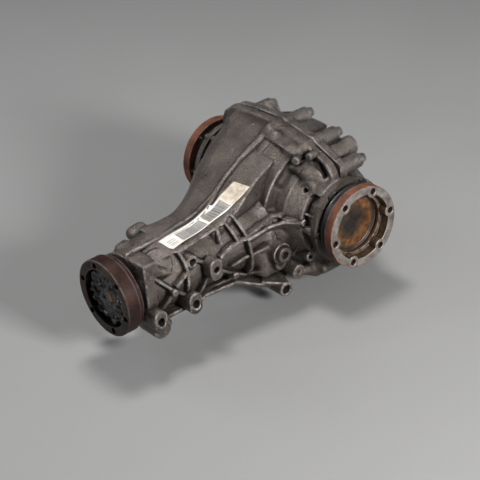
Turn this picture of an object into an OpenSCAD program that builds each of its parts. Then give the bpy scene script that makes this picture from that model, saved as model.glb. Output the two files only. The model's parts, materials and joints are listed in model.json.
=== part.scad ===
// Rear axle differential: hypoid-style final drive in a two-piece cast housing.
// Origin at the centre of the input flange's bolt face, +Y along the pinion into the
// housing, +X towards the right output flange, +Z up. Millimetres.

/* [Layout] */
// Distance from the input flange's bolt face to the output axis
axle_y = 320; // [320:1:330]
// Right output flange's bolt face, measured from the pinion axis
right_face_x = 112; // [112:0.5:116]
// Middle of the two output flanges, measured from the pinion axis
mid_x = -36; // [-36:1:-36]
// Centre of the differential gears, measured from the pinion axis
diff_x = -20; // [-20:1:-20]

/* [Final drive] */
// Teeth on the ring gear
ring_teeth = 41; // [41:1:41]
// Teeth on the pinion
pinion_teeth = 11; // [11:1:11]
// Outer transverse module of the final drive
drive_module = 4; // [4:0.1:4]
// Mean spiral angle of the teeth
spiral_angle = 35; // [20:1:38]
// Width of the tooth face
drive_face = 26; // [24:1:26]
// Clearance cut from each ring gear flank
drive_backlash = 0.22; // [0.15:0.01:0.3]

/* [Differential gears] */
// Teeth on each side gear
side_teeth = 16; // [16:2:16]
// Teeth on each spider gear
spider_teeth = 10; // [10:2:10]
// Outer cone distance of the side and spider gears
diff_cone = 33; // [33:0.5:33]
// Width of the differential gears' tooth face
diff_face = 10; // [8:1:11]

/* [Flanges] */
// Output flange diameter
out_od = 108; // [108:1:110]
// Output flange bolt circle
out_pcd = 94; // [94:0.5:94]
// Output flange bolt hole diameter
out_hole_d = 8.5; // [8:0.1:9]
// Input flange diameter
in_od = 100; // [100:1:102]
// Input flange bolt circle
in_pcd = 86; // [86:0.5:86]
// Input flange bolt hole diameter
in_hole_d = 8.5; // [8:0.1:9]
// Depth of the output flange's pilot recess
cup_depth = 22; // [20:1:22]

/* [Housing] */
// Radius of the housing over the ring gear
lobe_r = 99; // [98:1:101]
// Radius of the room for the ring gear
ring_room_r = 90; // [88:1:90]
// Radius of the bosses around the side bearings
side_boss_r = 60; // [60:1:62]
// Radius of the neck
neck_r = 49; // [48:1:50]
// Thickness of the joint flange on each half
joint_t = 13; // [12:1:16]
// Thickness of the cover gasket
gasket_t = 0.8; // [0.5:0.1:1]
// Radius of a cover bolt boss
boss_r = 9; // [8.5:0.5:9.5]

/* [Hidden] */
$fn = 72;
fit = 0.02;      // gap between parts that are fixed together
run = 0.05;      // gap between parts that turn in each other

cast_grey = [0.36, 0.33, 0.30];
rust = [0.45, 0.22, 0.15];
steel = [0.66, 0.66, 0.67];
dark_steel = [0.40, 0.40, 0.42];
black = [0.06, 0.06, 0.06];

// Final drive cone geometry; both gears share one apex where the axes cross
ring_pitch = atan(ring_teeth / pinion_teeth);
pinion_pitch = 90 - ring_pitch;
drive_cone = drive_module * ring_teeth / 2 / sin(ring_pitch);
drive_inner = drive_cone - drive_face;
drive_mean = drive_cone - drive_face / 2;
drive_pressure = 20;
diff_pressure = 25;
long_addendum = 5.0;      // pinion tooth above its pitch cone
short_addendum = 1.8;     // ring gear tooth above its pitch cone
drive_clearance = 0.9;
pinion_half_tooth = 0.885 * drive_module;
ring_half_tooth = 0.685 * drive_module - drive_backlash;
ring_back_cone = 66;      // cone angle of the ring gear's supporting back

// Differential gear cone geometry
side_pitch = atan(side_teeth / spider_teeth);
diff_module = 2 * diff_cone * sin(side_pitch) / side_teeth;
diff_inner = diff_cone - diff_face;
diff_addendum = 0.8 * diff_module;
diff_clearance = 0.6;
diff_half_tooth = (PI / 4 - 0.035) * diff_module;
pin_r = 8;
case_sphere_r = 34.6;
stub_r = 14;

// Taper roller bearings: bore, outer and roller circle radii, roller radius and length,
// width, cone angle and number of rollers
HEAD = [20, 40, 30, 4.6, 15, 22, 13, 17];
NOSE = [15, 31, 23, 3.8, 13, 20, 12, 16];
SIDE = [22.5, 40, 31, 4.4, 14, 20, 14, 20];
cup_setback = 2;          // the cup stands this far towards the small end
head_back_y = -88;        // pinion head bearing's large end
depth_shim_t = 1.2;
nose_back_y = -237;       // pinion nose bearing's large end
side_back_x = 24;         // right side bearing's large end

// Shoulders that the two pinion bearing cups rest on
head_seat_y = head_back_y - HEAD[5] - cup_setback - depth_shim_t;
nose_seat_y = nose_back_y + NOSE[5] + cup_setback;

// Housing stations along the pinion, measured from the output axis
neck_front_y = -288;
neck_root_y = -175;
floor_z = -98;
joint_outline = [
    [-141, -82], [-141, 74], [-134, 87], [-118, 97], [-84, 102], [-40, 104], [-2, 99], [26, 92],
    [52, 82], [75, 73], [75.5, 46], [75.5, -46], [60, -76], [20, -92], [-40, floor_z], [-110, -96],
];
cover_bolt_xz = [
    [-104, 84], [-31, 95], [22, 85], [64, 62], [-126, -78], [-84, -90], [12, -87], [62, -66],
];
dowel_xz = [[-128, 72], [66, -52]];
mount_boss_xz = [[32, 65], [-118, 65]];
mount_boss_y = 60;
mount_hole_r = 5.1;
bolt_end_y = 42;
bolt_front_y = -30;
bolt_r = 4;
bolt_head_r = 8;
carrier_r = 46;
carrier_flange_r = 56;
carrier_flange_x = [76, 84];
carrier_bolt_r = 51;
pad_xyz = [[60, -283, -24], [60, -230, -24]];
pad_hole_r = 5.1;
fill_xyz = [60, -90, -19];
drain_xyz = [-37, 92, -50];
seal_land_r = 24;
in_hub_r = 21;

// ---- placing ---------------------------------------------------------------

module at_axle() translate([0, axle_y, 0]) children();
module along_x(from, to, r, at = [0, 0])
    translate([from, at[0], at[1]]) rotate([0, 90, 0]) cylinder(r = r, h = to - from);
module along_y(from, to, r, at = [0, 0])
    translate([at[0], to, at[1]]) rotate([90, 0, 0]) cylinder(r = r, h = to - from);
module tube_x(from, to, r_in, r_out) {
    difference() {
        along_x(from, to, r_out);
        along_x(from - 1, to + 1, r_in);
    }
}
module tube_y(from, to, r_in, r_out) {
    difference() {
        along_y(from, to, r_out);
        along_y(from - 1, to + 1, r_in);
    }
}
module around_x(r, count, start) {
    for (i = [0 : count - 1])
        rotate([start + i * 360 / count, 0, 0]) translate([0, r, 0]) children();
}
module around_y(r, count, start) {
    for (i = [0 : count - 1])
        rotate([0, -start - i * 360 / count, 0]) translate([r, 0, 0]) children();
}
// Left output side is the right one mirrored about the middle plane
module left_side() translate([2 * mid_x, 0, 0]) mirror([1, 0, 0]) children();
module both_sides() {
    children();
    left_side() children();
}
module front_half() intersection() {
    children();
    translate([-200, -400, -200]) cube([400, 400, 400]);
}
module rear_half() intersection() {
    children();
    translate([-200, gasket_t, -200]) cube([400, 400, 400]);
}

// ---- bevel gear teeth on spheres about the cone apex --------------------------

// Polar angle of a spherical involute at cone angle t, from base cone angle b
function involute(t, b) =
    t <= b ? 0 : acos(cos(t) / cos(b)) / sin(b) - acos(tan(b) / tan(t));
// Half the angular thickness of a tooth at cone angle t
function half_angle(t, pitch, b, half) = half + involute(pitch, b) - involute(t, b);
function on_sphere(r, t, a) = [r * sin(t) * cos(a), r * sin(t) * sin(a), r * cos(t)];
// One turn of teeth at sphere radius r: five points up one flank, five down the other
function tooth_ring(r, n, pitch, root, tip, b, half, turn) = [
    for (i = [0 : n - 1], side = [-1, 1], k = [0 : 4])
        let (
            u = side < 0 ? k / 4 : 1 - k / 4,
            t = root + (tip - root) * u,
            a = i * 360 / n + turn + side * half_angle(t, pitch, b, half)
        )
        on_sphere(r, t, a)
];
function band(a, b, n) = [
    for (i = [0 : n - 1], f = [0, 1])
        let (j = (i + 1) % n)
        f == 0 ? [a + i, b + i, b + j] : [a + i, b + j, a + j]
];
// Gear with its apex at the origin and its axis on +Z, closed by two caps on the axis
module bevel_gear(n, pitch, outer, inner, add, ded, pressure, half_tooth, steps, spiral, turn) {
    b = asin(sin(pitch) * cos(pressure));
    root = pitch - atan(ded / outer);
    tip = pitch + atan(add / outer);
    half = half_tooth / outer / sin(pitch) * 180 / PI;
    count = n * 10;
    radii = [for (k = [0 : steps]) inner + (outer - inner) * k / steps];
    rings = [for (r = radii) each
        tooth_ring(r, n, pitch, root, tip, b, half, turn + spiral * ln(r / drive_mean))];
    last = steps * count;
    caps = [[0, 0, inner * cos(root)], [0, 0, outer * cos(root)]];
    walls = [for (k = [0 : steps - 1]) each band(k * count, (k + 1) * count, count)];
    floor_cap = [for (i = [0 : count - 1]) [i, (i + 1) % count, last + count]];
    top_cap = [for (i = [0 : count - 1])
        [last + (i + 1) % count, last + i, last + count + 1]];
    polyhedron(concat(rings, caps), concat(walls, floor_cap, top_cap), convexity = 12);
}
// Shell of ring gear teeth: the tooth surface backed by a cone, open in the middle
module bevel_shell(n, pitch, outer, inner, add, ded, pressure, half_tooth, back, steps, spiral) {
    b = asin(sin(pitch) * cos(pressure));
    root = pitch - atan(ded / outer);
    tip = pitch + atan(add / outer);
    half = half_tooth / outer / sin(pitch) * 180 / PI;
    count = n * 10;
    radii = [for (k = [0 : steps]) inner + (outer - inner) * k / steps];
    rings = [for (r = radii) each
        tooth_ring(r, n, pitch, root, tip, b, half, spiral * ln(r / drive_mean))];
    first_turn = spiral * ln(inner / drive_mean);
    last_turn = spiral * ln(outer / drive_mean);
    backs = concat(
        [for (i = [0 : n - 1]) on_sphere(inner, back, i * 360 / n + first_turn)],
        [for (i = [0 : n - 1]) on_sphere(outer, back, i * 360 / n + last_turn)]);
    last = steps * count;
    in_back = last + count;
    out_back = in_back + n;
    walls = [for (k = [0 : steps - 1]) each band(k * count, (k + 1) * count, count)];
    ends = [for (i = [0 : n - 1], k = [0 : 9])
        let (
            p = i * 10 + k,
            q = (p + 1) % count,
            c = k < 9 ? i : (i + 1) % n
        ) each [[p, q, in_back + c], [last + q, last + p, out_back + c]]];
    steps_back = [for (i = [0 : n - 1])
        let (j = (i + 1) % n, p = i * 10 + 9)
        each [[p, in_back + j, in_back + i], [last + p, out_back + i, out_back + j]]];
    back_wall = [for (i = [0 : n - 1])
        let (j = (i + 1) % n)
        each [[in_back + i, in_back + j, out_back + j], [in_back + i, out_back + j, out_back + i]]];
    polyhedron(concat(rings, backs), concat(walls, ends, steps_back, back_wall), convexity = 12);
}
// Turn of the spiral per unit of log cone distance, in degrees
ring_spiral = tan(spiral_angle) / sin(ring_pitch) * 180 / PI;
pinion_spiral = -ring_spiral * ring_teeth / pinion_teeth;

// ---- taper roller bearing, large end at z = 0, apex towards +Z -----------------

function spread(s) = asin(s[3] * sin(s[6]) / s[2]);
function apex_z(s) = s[5] / 2 + s[2] / tan(s[6]);
function cup_race(s, z) = (apex_z(s) - z) * tan(s[6] + spread(s)) + run;
function cone_race(s, z) = (apex_z(s) - z) * tan(s[6] - spread(s)) - run;

module bearing_cup(s) {
    low = cup_setback + 1;
    high = s[5] + cup_setback;
    rotate_extrude() polygon([
        [s[1], low], [s[1], high], [cup_race(s, high), high], [cup_race(s, low), low]]);
}
module bearing_cone(s) {
    reach = s[4] / 2 * cos(s[6]);
    big_rib = s[5] / 2 - reach - s[3] * sin(s[6]) * 1.1 - 0.2;
    small_rib = s[5] / 2 + reach + 0.2;
    high = s[5] - 0.5;
    rotate_extrude() polygon([
        [s[0], 0], [s[2] + 0.5, 0], [s[2] + 0.5, big_rib], [cone_race(s, big_rib), big_rib],
        [cone_race(s, small_rib), small_rib], [cone_race(s, small_rib) + 1.5, small_rib],
        [cone_race(s, small_rib) + 1.5, high], [s[0], high]]);
}
module roller_set(s, grow) {
    far = s[2] / sin(s[6]);
    taper = tan(spread(s));
    long = s[4] / 2 + grow;
    for (i = [0 : s[7] - 1])
        rotate([0, 0, i * 360 / s[7]])
            translate([0, 0, apex_z(s)])
                rotate([0, 180 - s[6], 0])
                    translate([0, 0, far - long])
                        cylinder(r1 = (far - long) * taper + grow,
                            r2 = (far + long) * taper + grow, h = 2 * long, $fn = 32);
}
module bearing_cage(s) {
    low = s[5] / 2 - s[4] / 2 * cos(s[6]) - 1.3;
    high = s[5] / 2 + s[4] / 2 * cos(s[6]) + 1.9;
    mid = function (z) (apex_z(s) - z) * tan(s[6]);
    difference() {
        rotate_extrude() polygon([
            [mid(low) - 0.6, low], [mid(low) + 0.6, low],
            [mid(high) + 0.6, high], [mid(high) - 0.6, high]]);
        roller_set(s, 0.2);
    }
}
module at_head() translate([0, head_back_y, 0]) rotate([90, 0, 0]) children();
module at_nose() translate([0, nose_back_y, 0]) rotate([-90, 0, 0]) children();
module at_side() translate([side_back_x, 0, 0]) rotate([0, 90, 0]) children();

// ---- housing -------------------------------------------------------------------

module joint_slab(from, to) {
    translate([0, to, 0]) rotate([90, 0, 0]) {
        linear_extrude(to - from) polygon(joint_outline);
        for (p = cover_bolt_xz) translate([p[0], p[1], 0]) cylinder(r = boss_r, h = to - from);
    }
}
module bearing_bosses() {
    both_sides() along_x(20, carrier_flange_x[0], side_boss_r);
}
module gear_lobe() along_x(-68, -8, lobe_r);
module oil_room() {
    hull() {
        along_x(-66, -8, ring_room_r);
        both_sides() along_x(0, 58, 46, $fn = 32);
    }
    hull() {
        along_x(-60, -12, 70);
        along_y(-150, -80, 36);
    }
}
module casting_bores() {
    both_sides() along_x(-10, carrier_flange_x[0] + 10, carrier_r + fit);
    along_x(-69, -6, ring_room_r);
    both_sides() around_x(carrier_bolt_r, 6, 0)
        along_x(carrier_flange_x[0] - 22, carrier_flange_x[0] + 5, 3 + run);
}
module bolt_bores(from, to) {
    for (p = cover_bolt_xz) {
        along_y(from, to, bolt_r + run, p);
        along_y(bolt_end_y, bolt_end_y + 40, bolt_head_r + 0.6, p);
    }
    for (p = dowel_xz) along_y(-12, 12, 4 + fit, p);
}
module main_bell() {
    joint_slab(-joint_t, 0);
    front_half() hull() {
        gear_lobe();
        left_side() along_x(20, 68, side_boss_r, $fn = 48);
        translate([-139, -8, 60]) cube([150, 6, 28]);
        translate([-40, neck_root_y, -34]) cube([50, 2, 85]);
    }
    front_half() hull() {
        gear_lobe();
        along_x(20, 62, 52, $fn = 48);
        along_y(-150, -148, neck_r, $fn = 48);
    }
}
module neck() {
    rotate([90, 0, 0]) rotate_extrude() polygon([
        [0, 90], [74, 90], [62, 110], [54, 140], [50, -neck_root_y], [neck_r, 250],
        [neck_r - 3, 262], [neck_r - 3, -neck_front_y], [0, -neck_front_y]]);
    translate([-34, -255, 0]) cube([44, 90, 51]);
}
// Front feet, side pads and the bosses that the oval pads stand on
module feet() {
    for (s = [-1, 1], p = pad_xyz) {
        side_x = s > 0 ? 36 : -p[0];
        translate([side_x, p[1] - 8.5, p[2] - 13]) cube([p[0] - 36, 17, 26]);
    }
    for (s = [-1, 1])
        translate([s > 0 ? 18 : -58, pad_xyz[0][1] - 4, -62]) cube([40, 22, 50]);
    translate([-20, pad_xyz[1][1] - 30, -56]) cube([40, 70, 20]);
}
module side_bosses() {
    for (p = pad_xyz) for (up = [-5, 5])
        along_x(36, p[0] + 2, 10, [p[1], p[2] + up]);
    for (up = [-5, 5]) along_x(20, 62, 9.5, [-194, 7 + up]);
    along_x(20, 46, 9, [-217, 22]);
    along_x(0, fill_xyz[0], 15, [fill_xyz[1], fill_xyz[2]]);
    along_x(20, 70, 9.5, [-74, -49]);
    along_x(10, 62, 10, [-90, -71]);
    along_x(20, 48, 4.5, [-157, -24]);
    along_x(30, 58, 4, [-252, -2]);
}
module side_ribs() {
    translate([30, -262, -2]) cube([22, 130, 4]);
    translate([26, -240, -46]) cube([18, 170, 5]);
    for (y = [-205, -150, -118]) translate([26, y, -46]) cube([16, 5, 62]);
    translate([24, -176, -44]) rotate([38, 0, 0]) cube([18, 70, 4]);
    for (z = [18, -34]) translate([30, -150, z]) rotate([0, 0, -6]) cube([18, 95, 5]);
}
module main_housing() color(cast_grey) at_axle() difference() {
    union() {
        difference() {
            union() {
                main_bell();
                neck();
                feet();
                side_bosses();
                side_ribs();
                front_half() bearing_bosses();
                for (p = cover_bolt_xz) along_y(bolt_front_y - 4, 0, boss_r, p);
            }
            oil_room();
        }
        front_half() both_sides() tube_x(22, carrier_flange_x[0], carrier_r, side_boss_r - 4);
        along_y(-124, -93, 50);
    }
    translate([-200, 0, -200]) cube([400, 200, 400]);
    casting_bores();
    bolt_bores(bolt_front_y, 1);
    // pinion bearing seats, oil space between them and seal pocket
    along_y(head_seat_y, -80, HEAD[1] + fit);
    along_y(-207, head_seat_y + 1, 30);
    along_y(nose_seat_y - 1, -206, 27);
    along_y(neck_front_y, nose_seat_y, NOSE[1] + fit);
    along_y(neck_front_y - 1, -274, 34 + fit);
    // threaded holes
    for (p = pad_xyz) along_x(p[0] - 22, p[0] + 5, pad_hole_r, [p[1], p[2]]);
    along_x(40, 65, 4.2, [-194, 7]);
    along_x(30, 50, 5, [-217, 22]);
    along_x(45, 65, 6, [-90, -71]);
    along_x(55, 75, 1.5, [-74, -49]);
    along_x(0, 80, 9 + fit, [fill_xyz[1], fill_xyz[2]]);
    along_x(fill_xyz[0], fill_xyz[0] + 30, 14.5, [fill_xyz[1], fill_xyz[2]]);
}
module rear_cover() color([0.33, 0.31, 0.29]) at_axle() difference() {
    union() {
        difference() {
            union() {
                joint_slab(gasket_t, joint_t);
                rear_half() hull() {
                    gear_lobe();
                    both_sides() along_x(20, 68, side_boss_r, $fn = 48);
                    joint_slab(gasket_t, 6);
                }
                for (p = cover_bolt_xz) along_y(gasket_t, bolt_end_y, boss_r, p);
                for (p = mount_boss_xz) along_y(gasket_t, mount_boss_y, 13, p);
                rear_half() bearing_bosses();
            }
            oil_room();
        }
        rear_half() both_sides() tube_x(22, carrier_flange_x[0], carrier_r, side_boss_r - 4);
        along_y(70, drain_xyz[1], 16, [drain_xyz[0], drain_xyz[2]]);
        along_y(56, 80, 9, [-104, 40]);
        for (p = mount_boss_xz) along_y(20, mount_boss_y, 13, p);
    }
    casting_bores();
    bolt_bores(-1, bolt_end_y + 5);
    for (p = mount_boss_xz) along_y(mount_boss_y - 26, mount_boss_y + 5, mount_hole_r, p);
    along_y(60, drain_xyz[1] + 5, 9 + fit, [drain_xyz[0], drain_xyz[2]]);
    along_y(40, 85, 4 + fit, [-104, 40]);
}
module cover_gasket() color(black) at_axle() difference() {
    joint_slab(fit, gasket_t - fit);
    oil_room();
    casting_bores();
    bolt_bores(-5, 5);
}
module cover_bolts() color(steel) at_axle() for (p = cover_bolt_xz) {
    along_y(bolt_front_y + 2, bolt_end_y + fit, bolt_r, p);
    along_y(bolt_end_y + fit, bolt_end_y + 1.6, bolt_head_r, p);
    along_y(bolt_end_y + 1.6, bolt_end_y + 8, 6.5, p, $fn = 6);
}
module cover_dowels() color(dark_steel) at_axle() for (p = dowel_xz) along_y(-11, 11, 4, p);

// ---- side bearing carriers, seals, plugs ----------------------------------------

module bearing_carrier() difference() {
    union() {
        along_x(22, carrier_flange_x[0], carrier_r);
        along_x(carrier_flange_x[0] + fit, carrier_flange_x[1], carrier_flange_r);
        along_x(carrier_flange_x[0] - 5, carrier_flange_x[1] - 1, carrier_r);
    }
    along_x(20, 47.2, SIDE[1] + fit);
    along_x(45, 90, 30);
    along_x(68, 90, 36 + fit);
    around_x(carrier_bolt_r, 6, 0) along_x(70, 90, 3 + run);
    difference() {
        along_x(60, 63.4, carrier_r + 1);
        along_x(59, 64, 43);
    }
}
module left_bearing_carrier() color(cast_grey) at_axle() left_side() bearing_carrier();
module right_bearing_carrier() color(cast_grey) at_axle() bearing_carrier();
module carrier_bolts() color(steel) at_axle() both_sides() around_x(carrier_bolt_r, 6, 0) {
    along_x(carrier_flange_x[0] - 18, carrier_flange_x[1] + 1, 3);
    along_x(carrier_flange_x[1] + fit, carrier_flange_x[1] + 4, 4.9);
}
module carrier_o_rings() color(black) at_axle() both_sides()
    translate([61.7, 0, 0]) rotate([0, 90, 0]) rotate_extrude()
        translate([44.5, 0]) circle(r = 1.45, $fn = 24);
module lip_seal(r_in, r_out, w) rotate_extrude() polygon([
    [r_out, 0], [r_out, w], [r_in + 3, w], [r_in + 3, w - 2], [r_in, w - 3],
    [r_in, w - 5], [r_in + 3, w - 4], [r_out - 3, 2], [r_out - 3, 0]]);
module output_seal() translate([70, 0, 0]) rotate([0, 90, 0]) lip_seal(seal_land_r + run, 36, 10);
module left_output_seal() color(black) at_axle() left_side() output_seal();
module right_output_seal() color(black) at_axle() output_seal();
module pinion_oil_seal() color(black) at_axle()
    translate([0, -275, 0]) rotate([90, 0, 0]) lip_seal(in_hub_r + run, 34, 11);
module socket_plug() difference() {
    union() {
        translate([0, 0, -13]) cylinder(r = 9, h = 14.5);
        translate([0, 0, 1.5]) cylinder(r = 12, h = 4);
    }
    translate([0, 0, -4]) cylinder(r = 6, h = 12, $fn = 6);
}
module at_fill() translate(fill_xyz) rotate([0, 90, 0]) children();
module at_drain() translate(drain_xyz) rotate([-90, 0, 0]) children();
module fill_plug() color(steel) at_axle() at_fill() socket_plug();
module drain_plug() color(steel) at_axle() at_drain() socket_plug();
module plug_washer() difference() {
    translate([0, 0, fit]) cylinder(r = 12.5, h = 1.5 - 2 * fit);
    translate([0, 0, -1]) cylinder(r = 9 + fit, h = 4);
}
module plug_washers() color([0.72, 0.45, 0.30]) at_axle() {
    at_fill() plug_washer();
    at_drain() plug_washer();
}
module breather() color(dark_steel) at_axle() translate([-104, 80, 40]) rotate([-90, 0, 0])
    difference() {
        union() {
            translate([0, 0, -16]) cylinder(r = 4, h = 17);
            translate([0, 0, fit]) cylinder(r = 6.5, h = 4, $fn = 6);
            translate([0, 0, 4]) cylinder(r = 3.5, h = 5);
            translate([0, 0, 8]) cylinder(r = 6.5, h = 5);
        }
        translate([0, 0, -17]) cylinder(r = 1.5, h = 27);
    }

// ---- bearings ----------------------------------------------------------------------

module pinion_head_cup() color(steel) at_axle() at_head() bearing_cup(HEAD);
module pinion_nose_cup() color(steel) at_axle() at_nose() bearing_cup(NOSE);
module left_side_cup() color(steel) at_axle() left_side() at_side() bearing_cup(SIDE);
module right_side_cup() color(steel) at_axle() at_side() bearing_cup(SIDE);
module pinion_head_cone() color(steel) at_axle() at_head() bearing_cone(HEAD);
module pinion_nose_cone() color(steel) at_axle() at_nose() bearing_cone(NOSE);
module left_side_cone() color(steel) at_axle() left_side() at_side() bearing_cone(SIDE);
module right_side_cone() color(steel) at_axle() at_side() bearing_cone(SIDE);
module head_rollers() color(steel) at_axle() at_head() roller_set(HEAD, 0);
module head_cage() color(dark_steel) at_axle() at_head() bearing_cage(HEAD);
module nose_rollers() color(steel) at_axle() at_nose() roller_set(NOSE, 0);
module nose_cage() color(dark_steel) at_axle() at_nose() bearing_cage(NOSE);
module left_side_rollers() color(steel) at_axle() left_side() at_side() roller_set(SIDE, 0);
module left_side_cage() color(dark_steel) at_axle() left_side() at_side() bearing_cage(SIDE);
module right_side_rollers() color(steel) at_axle() at_side() roller_set(SIDE, 0);
module right_side_cage() color(dark_steel) at_axle() at_side() bearing_cage(SIDE);
module pinion_depth_shim() color(steel) at_axle()
    tube_y(head_seat_y + fit, head_seat_y + depth_shim_t - fit, 34, HEAD[1] - 0.2);
module side_bearing_shims() color(steel) at_axle() both_sides()
    tube_x(side_back_x + SIDE[5] + cup_setback + fit, 47.2 - fit, 34, SIDE[1] - 0.2);

// ---- pinion line ---------------------------------------------------------------------

nut_y = -300;
module pinion_gear() color(dark_steel) at_axle() {
    rotate([90, 0, 0]) rotate([0, 0, 180])
        bevel_gear(pinion_teeth, pinion_pitch, drive_cone, drive_inner, long_addendum,
            short_addendum + drive_clearance, drive_pressure, pinion_half_tooth, 11,
            pinion_spiral, 180 / pinion_teeth);
    along_y(head_back_y, -80, 17);
    along_y(head_back_y - HEAD[5], head_back_y - fit, HEAD[0] - fit);
    along_y(nose_back_y + 2, head_back_y - HEAD[5] + 1, 14);
    along_y(nose_back_y + fit, nose_back_y + NOSE[5], NOSE[0] - fit);
    along_y(nut_y, nose_back_y + 1, 12.5);
    along_y(nut_y - 14, nut_y + 1, 10);
}
module crush_sleeve() color(dark_steel) at_axle()
    tube_y(nose_back_y + NOSE[5], head_back_y - HEAD[5] - fit, NOSE[0] + 0.2, 17.5);
module input_flange() color(rust) at_axle() difference() {
    union() {
        difference() {
            along_y(-axle_y, -axle_y + 19, in_od / 2);
            difference() {
                along_y(-axle_y - 1, -axle_y + 12, 38);
                around_y(in_pcd / 2, 6, 44) along_y(-axle_y - 2, -axle_y + 13, 8.5);
            }
            along_y(-axle_y + 11.9, -axle_y + 20, 38);
        }
        along_y(nut_y - 2, nut_y + 6, 46);
        along_y(nut_y, nose_back_y - fit, in_hub_r);
    }
    along_y(nut_y - 5, nose_back_y + 5, 12.5 + fit);
    along_y(nut_y - 15, nut_y, 38);
    around_y(in_pcd / 2, 6, 44) along_y(-axle_y - 5, -axle_y + 16, in_hole_d / 2);
}
module pinion_nut() color(rust) at_axle() difference() {
    union() {
        along_y(nut_y - 2, nut_y - fit, 17);
        along_y(nut_y - 10, nut_y - 2, 16, $fn = 6);
    }
    along_y(nut_y - 20, nut_y + 5, 10 + fit);
}
module input_slinger() color(dark_steel) at_axle()
    tube_y(neck_front_y - 3.6, neck_front_y - 2, in_hub_r + fit, 33);

// ---- differential ------------------------------------------------------------------

module at_diff() translate([diff_x, 0, 0]) children();
flange_back_x = -58;
flange_front_x = -46;
ring_bore_r = 52;
module gear_windows() {
    for (z = [-14, 14]) along_y(-70, 70, 13, [-7, z]);
    translate([-20, -70, -14]) cube([26, 140, 28]);
}
module diff_case() color(dark_steel) at_axle() difference() {
    union() {
        along_x(flange_front_x, side_back_x - 4, 47);
        along_x(flange_front_x - 0.5, -28, ring_bore_r - fit);
        along_x(flange_back_x, flange_front_x - fit, 80);
        along_x(18, side_back_x - fit, 30);
        along_x(18, side_back_x + SIDE[5], SIDE[0] - fit);
        left_side() {
            along_x(side_back_x - fit - 40, side_back_x - fit, 30);
            along_x(side_back_x - 2, side_back_x + SIDE[5], SIDE[0] - fit);
        }
    }
    at_diff() {
        sphere(r = case_sphere_r);
        along_x(-31.2, 31.2, 22);
        along_x(-100, 100, stub_r + 1.1);
        cylinder(r = pin_r + fit, h = 110, center = true);
        // cross hole for the lock pin
        translate([0, 0, 41]) rotate([0, 90, 0]) cylinder(r = 2 + fit, h = 90, center = true);
    }
    gear_windows();
    around_x(64, 10, 18) along_x(flange_back_x - 5, flange_front_x + 5, 5 + run);
}
module ring_gear() color(steel) at_axle() difference() {
    union() {
        rotate([0, -90, 0]) rotate([0, 0, -90])
            bevel_shell(ring_teeth, ring_pitch, drive_cone, drive_inner, short_addendum,
                long_addendum + drive_clearance, drive_pressure, ring_half_tooth,
                ring_back_cone, 6, ring_spiral);
        rotate([0, 90, 0]) rotate_extrude($fn = 120) polygon([
            [ring_bore_r, flange_front_x], [82.5, flange_front_x], [82.5, -37],
            [78.4, -30.1], [56, -21.5], [ring_bore_r, -24]]);
    }
    around_x(64, 10, 18) along_x(flange_front_x - 5, -33, 5 + run);
}
module ring_gear_bolts() color(dark_steel) at_axle() around_x(64, 10, 18) {
    along_x(flange_back_x - fit, -34, 5);
    along_x(flange_back_x - 6, flange_back_x - fit, 8, $fn = 6);
}
module cross_pin() color(steel) at_axle() at_diff() difference() {
    cylinder(r = pin_r, h = 93, center = true);
    translate([0, 0, 41]) rotate([0, 90, 0]) cylinder(r = 2 + fit, h = 90, center = true);
}
module cross_pin_lock() color(steel) at_axle() at_diff()
    translate([0, 0, 41]) rotate([0, 90, 0]) cylinder(r = 2, h = 40, center = true);

module side_gear() difference() {
    union() {
        rotate([0, 90, 0])
            bevel_gear(side_teeth, side_pitch, diff_cone, diff_inner, diff_addendum,
                diff_addendum + diff_clearance, diff_pressure, diff_half_tooth, 1, 0, 0);
        along_x(diff_cone * cos(side_pitch) - 1, 30, 21);
    }
    along_x(0, 40, stub_r + fit);
}
module left_side_gear() color(steel) at_axle() at_diff() mirror([1, 0, 0]) side_gear();
module right_side_gear() color(steel) at_axle() at_diff() side_gear();
module spider_gear() difference() {
    union() {
        bevel_gear(spider_teeth, 90 - side_pitch, diff_cone, diff_inner, diff_addendum,
            diff_addendum + diff_clearance, diff_pressure, diff_half_tooth, 1, 0,
            180 / spider_teeth);
        rotate_extrude() polygon(concat([[0, 27]],
            [for (t = [22 : -4 : 2]) 33.2 * [sin(t), cos(t)]], [[0, 33.2]]));
    }
    cylinder(r = pin_r + run, h = 80, center = true);
}
module upper_spider_gear() color(steel) at_axle() at_diff() spider_gear();
module lower_spider_gear() color(steel) at_axle() at_diff() rotate([180, 0, 0]) spider_gear();
module side_gear_washers() color(dark_steel) at_axle() at_diff() {
    tube_x(30.1, 31.1, stub_r + 1.1, 21);
    tube_x(-31.1, -30.1, stub_r + 1.1, 21);
}
module spider_washers() color(dark_steel) at_axle() at_diff()
    for (turn = [0, 180]) rotate([turn, 0, 0]) rotate_extrude() polygon(concat(
        [for (t = [15 : 3 : 33]) (case_sphere_r - 0.1) * [sin(t), cos(t)]],
        [for (t = [33 : -3 : 15]) (case_sphere_r - 1.1) * [sin(t), cos(t)]]));

// ---- output flanges -----------------------------------------------------------------

left_gear_x = 2 * mid_x - diff_x;
groove_x = [9.4, 10.6];
cup_r = 38;
cup_wall_r = 42.5;
flange_t = 13;
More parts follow.
